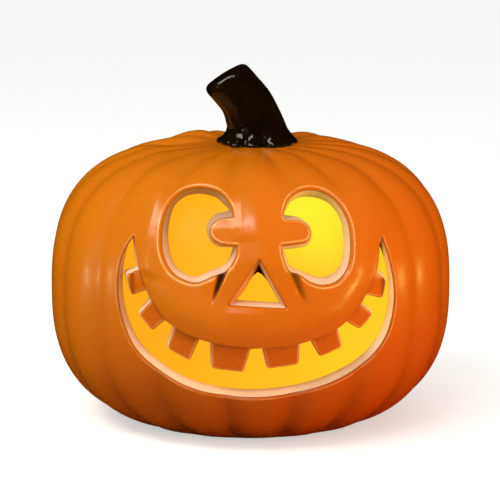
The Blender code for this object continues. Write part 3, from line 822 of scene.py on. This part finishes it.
def face_points(cut, border):
    """All the free points of the face's mesh: rows beside each edge, then an even field."""
    low, high = border.min(axis=0), border.max(axis=0)
    beside = thinned(rows_beside_edges(cut), LEAST_SPACING)
    field = even_field(low, high)
    gaps = [(cut.muzzle_edge, FIELD_TO_STEP)]
    gaps += [(crease, FIELD_TO_CREASE) for crease in cut.creases]
    gaps += [(crest, FIELD_TO_CREST) for crest in cut.crests]
    for line, gap in gaps:
        field = field[distance_to_line(field, line)[0] > gap]
    kept = []
    for points, gap in ((beside, BESIDE_TO_HOLE), (field, FIELD_TO_HOLE)):
        keep = np.all((points > low + FIELD_TO_BORDER) & (points < high - FIELD_TO_BORDER), axis=1)
        for loop in cut.loops.values():
            keep &= ~inside(points, loop) & (distance_to_line(points, loop, closed=True)[0] > gap)
        kept.append(points[keep])
    return np.concatenate(kept)


def even_line(line, spacing):
    """The line with its points set evenly, no further apart than the spacing."""
    line = np.asarray(line)
    along = np.concatenate(([0.0], np.cumsum(np.linalg.norm(np.diff(line, axis=0), axis=1))))
    places = np.linspace(0.0, along[-1], int(along[-1] / spacing) + 2)
    return np.stack([np.interp(places, along, line[:, i]) for i in range(2)], axis=-1)


def triangulated(border, loops, free):
    """Delaunay triangles on the sheet between the border and the holes' loops."""
    points = [border] + list(loops)
    edges = []
    start = 0
    for ring in points:
        count = len(ring)
        edges += [(start + i, start + (i + 1) % count) for i in range(count)]
        start += count
    places = np.concatenate(points + [free])
    found = delaunay_2d_cdt([Vector(place) for place in places], edges, [], 0, SNAP)
    sheet = np.array([tuple(v) for v in found[0]])
    faces = np.array([tuple(face) for face in found[2]])
    centres = sheet[faces].mean(axis=1)
    keep = inside(centres, border)
    for loop in loops:
        keep &= ~inside(centres, loop)
    return sheet, faces[keep]


class Skin:
    """Collects places and faces of a mesh, each face with its material's index, and named masks."""

    def __init__(self):
        self.places = []
        self.faces = []
        self.finish = []
        self.masks = []
        self.count = 0

    def add(self, places, faces, finish=0, **masks):
        self.places.append(places)
        self.faces += [tuple(int(i) + self.count for i in face) for face in faces]
        self.finish += [finish] * len(faces)
        self.masks.append({name: np.broadcast_to(mask, len(places)) for name, mask in masks.items()})
        self.count += len(places)

    def to_object(self, name, materials):
        """One welded, smoothly shaded object in metres."""
        mesh = bpy.data.meshes.new(name)
        mesh.from_pydata((np.concatenate(self.places) * MM).tolist(), [], self.faces)
        for finish in materials:
            mesh.materials.append(finish)
        mesh.polygons.foreach_set("material_index", self.finish)
        for mask in sorted(set(key for masks in self.masks for key in masks)):
            values = [masks.get(mask, np.zeros(len(places)))
                      for masks, places in zip(self.masks, self.places)]
            mesh.attributes.new(mask, "FLOAT", "POINT").data.foreach_set("value", np.concatenate(values))
        piece = bpy.data.objects.new(name, mesh)
        bpy.context.scene.collection.objects.link(piece)
        weld(mesh)
        mesh.shade_smooth()
        return piece


def weld(mesh):
    build = bmesh.new()
    build.from_mesh(mesh)
    bmesh.ops.remove_doubles(build, verts=build.verts, dist=WELD * MM)
    build.to_mesh(mesh)
    build.free()


def grid_turns(columns, rows):
    """The turn and arc length of each point of a grid over the whole body."""
    turns, alongs = np.meshgrid(np.arange(columns), np.linspace(0.0, PROFILE_END, rows + 1))
    return turns.ravel() * math.tau / columns, alongs.ravel()


def grid_faces(columns, rows, window=(0, 0, 0), flip=False):
    """Quads of a grid that closes round its columns, open at the window."""
    half, top, bottom = window
    faces = []
    for row in range(rows):
        for column in range(columns):
            if top <= row < bottom and not half <= column < columns - half:
                continue
            following = (column + 1) % columns
            quad = (row * columns + column, (row + 1) * columns + column,
                    (row + 1) * columns + following, row * columns + following)
            faces.append(quad[::-1] if flip else quad)
    return faces


def window_border(window, columns, rows):
    """The grid's own points round the window, counter-clockwise on the sheet."""
    half, top, bottom = window
    turn = math.tau / columns
    alongs = np.linspace(0.0, PROFILE_END, rows + 1)
    us = [turn * i for i in range(-half, half + 1)]
    left_down = [(us[0], alongs[row]) for row in range(top, bottom)]
    bottom_right = [(u, alongs[bottom]) for u in us[:-1]]
    right_up = [(us[-1], alongs[row]) for row in range(bottom, top, -1)]
    top_left = [(u, alongs[top]) for u in us[:0:-1]]
    ring = np.array(left_down + bottom_right + right_up + top_left)
    return to_sheet(ring[:, 0], ring[:, 1])


def carved_surface(cut, sheet):
    """The finished outer surface at places of the sheet: relief, set-back teeth and rounded edges."""
    points, normals = outer_surface(*from_sheet(sheet))
    points = points - normals * cut.lowering(sheet)[:, None]
    points[:, 1] += cut.setback(sheet) / np.clip(-normals[:, 1], LEAST_FACING, 1.0)
    return points


def groove_mask(points):
    """1 in the bottom of a groove between two ribs, where shade is painted."""
    return np.clip(-rib_relief(points) / GROOVE_DEPTH_AT_ENDS, 0.0, 1.0)


def rim_mask(cut, sheet):
    """1 on the thin line where the surface starts to roll over into a hole, where worn pale paint and a
    painted highlight lie, and on the painted highlight along a crease's upper edge.
    """
    line = np.zeros(len(sheet))
    for name, loop in cut.loops.items():
        distance = distance_to_line(sheet, loop, closed=True)[0]
        on_rim = np.clip(1.0 - np.abs(distance - EDGE_ROUNDING[name] * RIM_PLACE) / RIM_WIDTH, 0.0, 1.0)
        line = np.maximum(line, on_rim * RIM_WEAR_AND_HIGHLIGHT[name])
    line = line * (1.0 - np.clip(cut.crease_drop(sheet) * RIM_OFF_CREASE, 0.0, 1.0))
    # Painted highlight along the crease's upper edge
    for crease, edge_highlight in zip(cut.creases, CREASE_EDGE_HIGHLIGHT):
        share = share_along(sheet, crease)
        distance, side = distance_to_line(sheet, crease)
        off_edge = np.abs(distance / crease_width(share) - 1.0)
        on_edge = np.clip(1.0 - off_edge / CREASE_EDGE_WIDTH, 0.0, 1.0) * (side > 0.0) * (1.0 - share ** 4)
        line = np.maximum(line, on_edge * edge_highlight)
    return line


def step_shade_mask(cut, sheet):
    """1 at the foot of the step between the muzzle and the teeth, where shade is painted."""
    distance = distance_to_line(sheet, cut.muzzle_edge)[0]
    on_foot = np.clip(1.0 - np.abs(distance - STEP_SHADE_PLACE) / STEP_SHADE_WIDTH, 0.0, 1.0)
    return on_foot * inside(sheet, cut.tooth_band)


def add_outer_skin(skin, cut):
    """The ribbed outside, and in its window the finer mesh of the face."""
    window = patch_window(COLUMNS, ROWS, TOP_ROWS)
    turns, alongs = grid_turns(COLUMNS, ROWS)
    skin.add(outer_surface(turns, alongs)[0], grid_faces(COLUMNS, ROWS, window), PAINTED,
             groove=groove_mask(turned(turns, alongs)[0]))
    border = window_border(window, COLUMNS, ROWS)
    sheet, faces = triangulated(border, cut.loops.values(), face_points(cut, border))
    skin.add(carved_surface(cut, sheet), faces, PAINTED,
             groove=groove_mask(turned(*from_sheet(sheet))[0]),
             rim=rim_mask(cut, sheet),
             tooth=np.clip(cut.setback(sheet) / TOOTH_SETBACK, 0.0, 1.0),
             step=step_shade_mask(cut, sheet),
             crease=np.clip(cut.crease_drop(sheet) / max(CREASE_DEPTHS), 0.0, 1.0),
             rolled=np.clip(cut.lowering(sheet) / max(EDGE_ROUNDING.values()), 0.0, 1.0))


def inner_places(places):
    """Where points seen at (x, z) from the front lie on the sheet of the inner surface."""
    steps, down_radius, down_height, out, up = PROFILE
    radius = down_radius - WALL * out
    height = down_height - WALL * up
    along = np.interp(-places[:, 1], -height, steps)
    turn = np.arcsin(np.clip(places[:, 0] / np.interp(along, steps, radius), -SIDEMOST, SIDEMOST))
    return to_sheet(turn, along)


def add_inner_skin(skin, cut):
    """The smooth inside, whose window opens one row higher, clear of the eyes."""
    half, top, bottom = patch_window(INNER_COLUMNS, INNER_ROWS, INNER_TOP_ROWS, WALL)
    window = (half, top - 1, bottom)
    places = turned(*grid_turns(INNER_COLUMNS, INNER_ROWS), WALL)[0]
    skin.add(places, grid_faces(INNER_COLUMNS, INNER_ROWS, window, flip=True), HOLLOW)
    border = window_border(window, INNER_COLUMNS, INNER_ROWS)
    loops = [inner_places(inner) for inner in cut.behind.values()]
    sheet, faces = triangulated(border, loops, np.zeros((0, 2)))
    skin.add(turned(*from_sheet(sheet), WALL)[0], faces[:, ::-1], HOLLOW)


def add_cut_walls(skin, cut):
    """The pale walls from each rounded edge to the edge behind."""
    for name, loop in cut.loops.items():
        outer = carved_surface(cut, loop)
        inner = turned(*from_sheet(inner_places(cut.behind[name])), WALL)[0]
        rings = [outer + (inner - outer) * share for share in WALL_STEPS]
        count = len(outer)
        faces = grid_faces(count, len(rings) - 1, flip=True)
        left_side = np.zeros(count)
        if name == "nose":
            side = to_sheet(*unroll([point[:2] for point in NOSE[:4]]))
            left_side[distance_to_line(loop, side)[0] < ORANGE_SIDE_REACH] = 1.0
        skin.add(np.concatenate(rings), faces, BARE, wall_depth=np.repeat(WALL_STEPS, count),
                 wall_shade=WALL_DARKENING[name], wall_paint=np.tile(left_side, len(WALL_STEPS)))


def add_shell(mottle, grain):
    cut = FaceCut()
    skin = Skin()
    add_outer_skin(skin, cut)
    add_inner_skin(skin, cut)
    add_cut_walls(skin, cut)
    finishes = (orange_skin(mottle, grain), cut_wall(mottle, grain), shell_inside())
    shell = skin.to_object("ribbed_shell", finishes)
    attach(shell, "root")
    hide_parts("pumpkin_shell")
    return shell


def stem_bulge(turn, twist, lobe, toe, ridge):
    """How far the stem stands out at each turn round it, as a share of its half width."""
    bulge = 1.0 + lobe * np.cos(STEM_LOBES * (turn - math.radians(STEM_LOBE_TURN)) + twist)
    toes = np.abs(np.cos(STEM_TOES / 2.0 * turn)) ** TOE_SHARPNESS - TOE_MIDDLE
    bulge += toe * toes * (1.0 + TOE_UNEVENNESS * np.sin(TOE_UNEVEN_WAVES * turn + TOE_UNEVEN_TURN))
    ridges = np.abs(np.cos(STEM_RIDGES / 2.0 * turn + RIDGE_TWIST * twist))
    ridges = ridges * (1.0 + RIDGE_UNEVENNESS * np.sin(RIDGE_UNEVEN_WAVES * turn + RIDGE_UNEVEN_TURN))
    return bulge + ridge * (RIDGE_MIDDLE - ridges)


def stem_rings():
    """Rings of points up the stem, each in its own leaning plane."""
    sections = [(*centre, *rest) for centre, *rest in STEM_SECTIONS]
    run = curve_through(sections, STEM_STEPS)
    turn = math.tau * np.arange(STEM_SIDES) / STEM_SIDES
    rings = []
    for index, (x, z, lean, half_width, half_depth, lobe, toe, ridge) in enumerate(run):
        lean = math.radians(lean)
        twist = math.radians(STEM_TWIST) * index / (len(run) - 1)
        bulge = stem_bulge(turn, twist, lobe, toe, ridge)
        across = half_width * bulge * np.cos(turn)
        deep = half_depth * bulge * np.sin(turn)
        rings.append(np.stack((x + across * math.cos(lean), deep, z + across * math.sin(lean)), axis=-1))
    return rings


def add_stem(mottle, grain):
    rings = stem_rings()
    skin = Skin()
    skin.add(np.concatenate(rings), grid_faces(STEM_SIDES, len(rings) - 1))
    for ring, flip in ((rings[0], False), (rings[-1], True)):
        centre = ring.mean(axis=0)
        places = np.concatenate((ring, [centre]))
        fan = [(i, (i + 1) % STEM_SIDES, STEM_SIDES) for i in range(STEM_SIDES)]
        skin.add(places, [face[::-1] if flip else face for face in fan])
    stem = skin.to_object("leaning_stem", (stem_gloss(mottle, grain),))
    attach(stem, "root")
    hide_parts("stem")
    return stem


def new_material(name):
    made = bpy.data.materials.new(name)
    made.use_nodes = True
    tree = made.node_tree
    return made, tree, tree.nodes["Principled BSDF"]


def give(tree, made, sockets):
    """Links or sets a node's inputs; a colour is given without its alpha."""
    for name, value in sockets.items():
        socket = made.inputs[name]
        if isinstance(value, bpy.types.NodeSocket):
            tree.links.new(value, socket)
        else:
            socket.default_value = (*value, 1.0) if socket.type == "RGBA" else value


def node(tree, kind, sockets=None, **settings):
    """A new node with its settings and its input values or links."""
    made = tree.nodes.new(kind)
    for name, value in settings.items():
        setattr(made, name, value)
    give(tree, made, sockets or {})
    return made


def mixed(tree, factor, first, second):
    """A colour between first and second, by factor."""
    sockets = {MIX_FACTOR: factor, MIX_FIRST: first, MIX_SECOND: second}
    return node(tree, "ShaderNodeMix", sockets, data_type="RGBA").outputs[MIX_RESULT]


def product(tree, first, second):
    """The two values multiplied."""
    return node(tree, "ShaderNodeMath", {0: first, 1: second}, operation="MULTIPLY").outputs[0]


def ranged(tree, value, span, to=(0.0, 1.0)):
    """The value's run over the span, turned smoothly into the run `to` and held at both ends."""
    made = node(tree, "ShaderNodeMapRange", {"Value": value, "From Min": span[0], "From Max": span[1],
                                             "To Min": to[0], "To Max": to[1]},
                interpolation_type="SMOOTHSTEP")
    return made.outputs[0]


def mask(tree, name):
    """One of the masks that the mesh carries."""
    return node(tree, "ShaderNodeAttribute", attribute_name=name).outputs["Fac"]


def own_place(tree):
    """The place on the object, in metres."""
    return node(tree, "ShaderNodeTexCoord").outputs["Object"]


def place_run(tree, axis, span, to=(0.0, 1.0)):
    """The place's run over a span of millimetres along one axis, turned into the run `to`."""
    parts = node(tree, "ShaderNodeSeparateXYZ", {"Vector": own_place(tree)})
    return ranged(tree, parts.outputs[axis], (span[0] * MM, span[1] * MM), to)


def noise(tree, place, scale, detail, roughness=0.5, distortion=0.0):
    """A soft random pattern over the place."""
    sockets = {"Vector": place, "Scale": scale, "Detail": detail, "Roughness": roughness,
               "Distortion": distortion}
    return node(tree, "ShaderNodeTexNoise", sockets).outputs["Fac"]


def new_group(name, inputs, output):
    """An empty group of shader nodes with its number sockets, and the values that it is given."""
    tree = bpy.data.node_groups.new(name, "ShaderNodeTree")
    for label in inputs:
        tree.interface.new_socket(label, in_out="INPUT", socket_type="NodeSocketFloat")
    tree.interface.new_socket(output, in_out="OUTPUT", socket_type="NodeSocketFloat")
    return tree, tree.nodes.new("NodeGroupInput").outputs


def put_out(tree, value):
    """The group, with the value as its one output."""
    tree.links.new(value, tree.nodes.new("NodeGroupOutput").inputs[0])
    return tree


def group_mottle():
    """Uneven paint: a broad cloud and a fine speckle, mixed into one mask."""
    tree, given = new_group("paint_mottle", ("Cloud Scale", "Speckle Scale", "Speckle Share"), "Mask")
    place = own_place(tree)
    cloud = noise(tree, place, given["Cloud Scale"], detail=3.0, roughness=0.5)
    speckle = noise(tree, place, given["Speckle Scale"], detail=5.0, roughness=0.65)
    blend = node(tree, "ShaderNodeMix", {"Factor": given["Speckle Share"], "A": cloud, "B": speckle})
    return put_out(tree, ranged(tree, blend.outputs["Result"], NOISE_SPAN))


def group_moulded_grain():
    """The fine skin of moulded foam: soft dimples with small scratches across them."""
    tree, given = new_group("moulded_grain", ("Dimple Scale", "Scratch Scale", "Scratch Share"), "Height")
    place = own_place(tree)
    dimples = noise(tree, place, given["Dimple Scale"], detail=2.0, roughness=0.4)
    stretched = node(tree, "ShaderNodeMapping", {"Vector": place, "Rotation": SCRATCH_LEAN,
                                                 "Scale": SCRATCH_STRETCH}).outputs["Vector"]
    scratches = noise(tree, stretched, given["Scratch Scale"], detail=4.0, roughness=0.6, distortion=0.6)
    blend = node(tree, "ShaderNodeMix", {"Factor": given["Scratch Share"], "A": dimples, "B": scratches})
    return put_out(tree, blend.outputs["Result"])


def use_group(tree, group, values):
    """The output of a shared effect, placed in a material with its own values."""
    return node(tree, "ShaderNodeGroup", values, node_tree=group).outputs[0]


def roughened(tree, shader, height, strength, distance, roughness):
    """Links a bump from the height and a roughness that follows it."""
    bump = node(tree, "ShaderNodeBump", {"Strength": strength, "Distance": distance, "Height": height})
    give(tree, shader, {"Normal": bump.outputs["Normal"],
                        "Roughness": ranged(tree, height, NOISE_SPAN, roughness)})


def orange_skin(mottle, grain):
    """Satin paint, golden on the left, with painted warm light making it redder on the right, painted shade
    making it darker low down, in the grooves, in the creases, on the edges rolling into the holes and under
    the muzzle's edge, and worn pale paint with a painted highlight on the rims.
    """
    made, tree, shader = new_material("orange_skin")
    patches = use_group(tree, mottle, {"Cloud Scale": 16.0, "Speckle Scale": 260.0, "Speckle Share": 0.12})
    across = place_run(tree, "X", ACROSS_THE_BODY)
    # Painted warm light makes the right side redder
    colour = mixed(tree, across, SKIN_LEFT, SKIN_RIGHT_WARM_LIT)
    colour = mixed(tree, product(tree, patches, PATCH_SHARE), colour, SKIN_PATCH)
    # Painted shade: darker low down, held back on the left flank
    low = place_run(tree, "Z", DOWN_THE_BODY, (0.0, LOW_SHADE_SHARE))
    low = product(tree, low, place_run(tree, "X", LEFT_FLANK, (LEFT_FLANK_SHADE_SHARE, 1.0)))
    colour = mixed(tree, low, colour, mixed(tree, across, SKIN_LOW_SHADE_LEFT, SKIN_LOW_SHADE_RIGHT))
    # Painted shade in the grooves
    in_groove = product(tree, mask(tree, "groove"), place_run(tree, "Z", LOW_GROOVES, GROOVE_SHADE_SHARES))
    colour = mixed(tree, in_groove, colour, mixed(tree, low, SKIN_GROOVE_SHADE, SKIN_LOW_GROOVE_SHADE))
    colour = mixed(tree, product(tree, mask(tree, "tooth"), TOOTH_SHARE), colour, SKIN_TOOTH)
    # Painted shade on the edges that roll into the holes
    rolled = ranged(tree, mask(tree, "rolled"), ROLLED_SPAN, (0.0, ROLLED_SHADE_SHARE))
    colour = mixed(tree, rolled, colour, SKIN_PAINT_IN_SHADE)
    # Painted shade in the creases
    crease_shade = mixed(tree, place_run(tree, "X", BETWEEN_CREASES), CREASE_SHADE_DARK, CREASE_SHADE_OLIVE)
    crease = ranged(tree, mask(tree, "crease"), CREASE_SPAN, (0.0, CREASE_SHADE_SHARE))
    colour = mixed(tree, crease, colour, crease_shade)
    # Painted shade at the foot of the step under the muzzle
    colour = mixed(tree, product(tree, mask(tree, "step"), STEP_SHADE_SHARE), colour, SKIN_PAINT_IN_SHADE)
    flakes = use_group(tree, mottle, {"Cloud Scale": 85.0, "Speckle Scale": 420.0, "Speckle Share": 0.3})
    # Worn pale paint and a painted highlight on the rims
    worn_and_lit = product(tree, mask(tree, "rim"), ranged(tree, flakes, FLAKE_SPAN, FLAKE_SHARES))
    give(tree, shader, {"Base Color": mixed(tree, worn_and_lit, colour, RIM_CREAM_AND_HIGHLIGHT), "Specular IOR Level": 0.42})
    height = use_group(tree, grain, {"Dimple Scale": 240.0, "Scratch Scale": 420.0, "Scratch Share": 0.25})
    roughened(tree, shader, height, strength=0.03, distance=0.5 * MM, roughness=(0.22, 0.29))
    return made


def cut_wall(mottle, grain):
    """Pale bare foam, browner towards the back, with painted shade on the upper walls, painted light on the
    right walls, orange on the nose's left side, and the skin's paint in painted shade on its front edge.
    """
    made, tree, shader = new_material("cut_wall")
    depth = mask(tree, "wall_depth")
    patches = use_group(tree, mottle, {"Cloud Scale": 55.0, "Speckle Scale": 500.0, "Speckle Share": 0.4})
    cream = mixed(tree, patches, WALL_CREAM, WALL_PINK)
    cream = mixed(tree, ranged(tree, depth, WALL_BACK, (0.0, WALL_BACK_SHARE)), cream, WALL_DEEP)
    # Painted shade on the upper walls
    shade = product(tree, mask(tree, "wall_shade"), place_run(tree, "Z", UPPER_WALLS))
    cream = mixed(tree, shade, cream, WALL_SHADE)
    cream = mixed(tree, product(tree, mask(tree, "wall_paint"), ORANGE_SIDE_SHARE), cream, WALL_ORANGE)
    # Painted light makes the right walls paler
    cream = mixed(tree, place_run(tree, "X", RIGHT_WALLS, (0.0, RIGHT_WALL_LIGHT_SHARE)), cream, WALL_PAINTED_LIGHT)
    # The skin's paint, in painted shade, on the front edge
    cream = mixed(tree, ranged(tree, depth, PAINT_END), cream, SKIN_PAINT_IN_SHADE)
    give(tree, shader, {"Base Color": cream, "Specular IOR Level": 0.35})
    height = use_group(tree, grain, {"Dimple Scale": 300.0, "Scratch Scale": 700.0, "Scratch Share": 0.5})
    roughened(tree, shader, height, strength=0.4, distance=0.5 * MM, roughness=(0.5, 0.68))
    return made


def shell_inside():
    """The dark orange inside of the shell, a little lighter higher up."""
    made, tree, shader = new_material("shell_inside")
    colour = mixed(tree, place_run(tree, "Z", INSIDE_RISE), INSIDE_LOW, INSIDE_HIGH)
    give(tree, shader, {"Base Color": colour, "Roughness": 0.8})
    return made


def stem_gloss(mottle, grain):
    """Near-black varnish with a warm cast."""
    made, tree, shader = new_material("stem_gloss")
    patches = use_group(tree, mottle, {"Cloud Scale": 45.0, "Speckle Scale": 400.0, "Speckle Share": 0.3})
    colour = mixed(tree, patches, STEM_DARK, STEM_WARM)
    give(tree, shader, {"Base Color": colour, "Specular IOR Level": 0.32})
    height = use_group(tree, grain, {"Dimple Scale": 160.0, "Scratch Scale": 300.0, "Scratch Share": 0.4})
    roughened(tree, shader, height, strength=0.3, distance=1.2 * MM, roughness=(0.08, 0.18))
    return made


def film_glow():
    """A thin sheet with a painted glow in place of a lamp behind it: amber on the left, yellow on the
    right, brightest behind the right eye.
    """
    made, tree, shader = new_material("film_glow")
    place = own_place(tree)
    colour = mixed(tree, place_run(tree, "X", GLOW_ACROSS), GLOW_LEFT, GLOW_RIGHT)
    middle = tuple(part * MM for part in HOT_SPOT)
    reach = node(tree, "ShaderNodeVectorMath", {0: place, 1: middle}, operation="DISTANCE").outputs["Value"]
    colour = mixed(tree, ranged(tree, reach, (HOT_REACH[0] * MM, HOT_REACH[1] * MM)), colour, GLOW_HOT)
    cloud = noise(tree, place, 26.0, detail=2.0)
    colour = mixed(tree, ranged(tree, cloud, GLOW_CLOUD_SPAN, (0.0, GLOW_CLOUD_SHARE)), colour, GLOW_LEFT)
    give(tree, shader, {"Base Color": FILM_UNLIT, "Emission Color": colour, "Emission Strength": 1.0,
                        "Specular IOR Level": 0.1})
    return made


def add_floor():
    """A pale floor that sends back less light than it shows, as a floor far below would."""
    mesh = bpy.data.meshes.new("studio_floor")
    near, far = -FLOOR_REACH * MM, FLOOR_REACH * MM
    mesh.from_pydata([(near, near, 0), (far, near, 0), (far, far, 0), (near, far, 0)], [], [(0, 1, 2, 3)])
    floor = bpy.data.objects.new("studio_floor", mesh)
    bpy.context.scene.collection.objects.link(floor)
    made, tree, shader = new_material("pale_floor")
    seen = node(tree, "ShaderNodeLightPath").outputs["Is Camera Ray"]
    give(tree, shader, {"Base Color": mixed(tree, seen, FLOOR_BOUNCE, FLOOR_PALE),
                        "Emission Color": mixed(tree, seen, (0.0, 0.0, 0.0), FLOOR_LIFT),
                        "Emission Strength": 1.0, "Roughness": 0.9, "Specular IOR Level": 0.0})
    mesh.materials.append(made)
    floor.visible_glossy = False


def direction_to(turn, rise):
    """The direction that is turned to the right from the front and raised over the horizon."""
    turn, rise = math.radians(turn), math.radians(rise)
    return Vector((math.sin(turn) * math.cos(rise), -math.cos(turn) * math.cos(rise), math.sin(rise)))


def add_softbox(name, stand, size, power, colour, mirrored):
    """A soft rectangle of light that faces the middle of the body."""
    turn, rise, reach = stand
    out = direction_to(turn, rise)
    light = bpy.data.lights.new(name, "AREA")
    light.shape = "RECTANGLE"
    light.size, light.size_y = size[0] * MM, size[1] * MM
    light.energy = power
    light.color = colour
    lamp = bpy.data.objects.new(name, light)
    lamp.location = (Vector(BODY_MIDDLE) + out * reach) * MM
    lamp.rotation_euler = (-out).to_track_quat("-Z", "Y").to_euler()
    lamp.visible_glossy = mirrored
    bpy.context.scene.collection.objects.link(lamp)


def add_surround():
    """A white surround that the gloss doesn't mirror, dimmer towards the horizon."""
    world = bpy.data.worlds.new("studio_air")
    world.use_nodes = True
    tree = world.node_tree
    background = tree.nodes["Background"]
    seen = node(tree, "ShaderNodeLightPath").outputs["Is Camera Ray"]
    direction = node(tree, "ShaderNodeTexCoord").outputs["Generated"]
    rise = node(tree, "ShaderNodeSeparateXYZ", {"Vector": direction}).outputs["Z"]
    air = ranged(tree, rise, (0.0, 1.0), (AIR_LOW, AIR_HIGH))
    strength = node(tree, "ShaderNodeMath", {0: seen, 1: air}, operation="MAXIMUM").outputs[0]
    give(tree, background, {"Color": WHITE, "Strength": strength})
    world.cycles_visibility.glossy = False
    bpy.context.scene.world = world


def add_lights():
    for name, (stand, size, power, colour, mirrored) in LIGHTS.items():
        add_softbox(name, stand, size, power, colour, mirrored)


def add_camera():
    back = direction_to(CAMERA_TURN, CAMERA_RISE)
    data = bpy.data.cameras.new("photo_camera")
    data.sensor_width = SENSOR_WIDTH
    data.lens = LENS
    data.shift_x, data.shift_y = SHIFT
    camera = bpy.data.objects.new("photo_camera", data)
    camera.location = Vector((0.0, 0.0, CAMERA_AIM_HEIGHT * MM)) + back * CAMERA_DISTANCE * MM
    camera.rotation_euler = (-back).to_track_quat("-Z", "Y").to_euler()
    bpy.context.scene.collection.objects.link(camera)
    bpy.context.scene.camera = camera


def finish_films():
    """The films keep the frame's own meshes and get the finish with the painted glow."""
    glow = film_glow()
    for name in ("left_eye_film", "right_eye_film", "nose_film", "mouth_film"):
        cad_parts[name].material_slots[0].material = glow


bpy.context.scene.view_settings.view_transform = "Standard"
paint_mottle = group_mottle()
moulded_grain = group_moulded_grain()
add_shell(paint_mottle, moulded_grain)
add_stem(paint_mottle, moulded_grain)
finish_films()
add_floor()
add_surround()
add_lights()
add_camera()
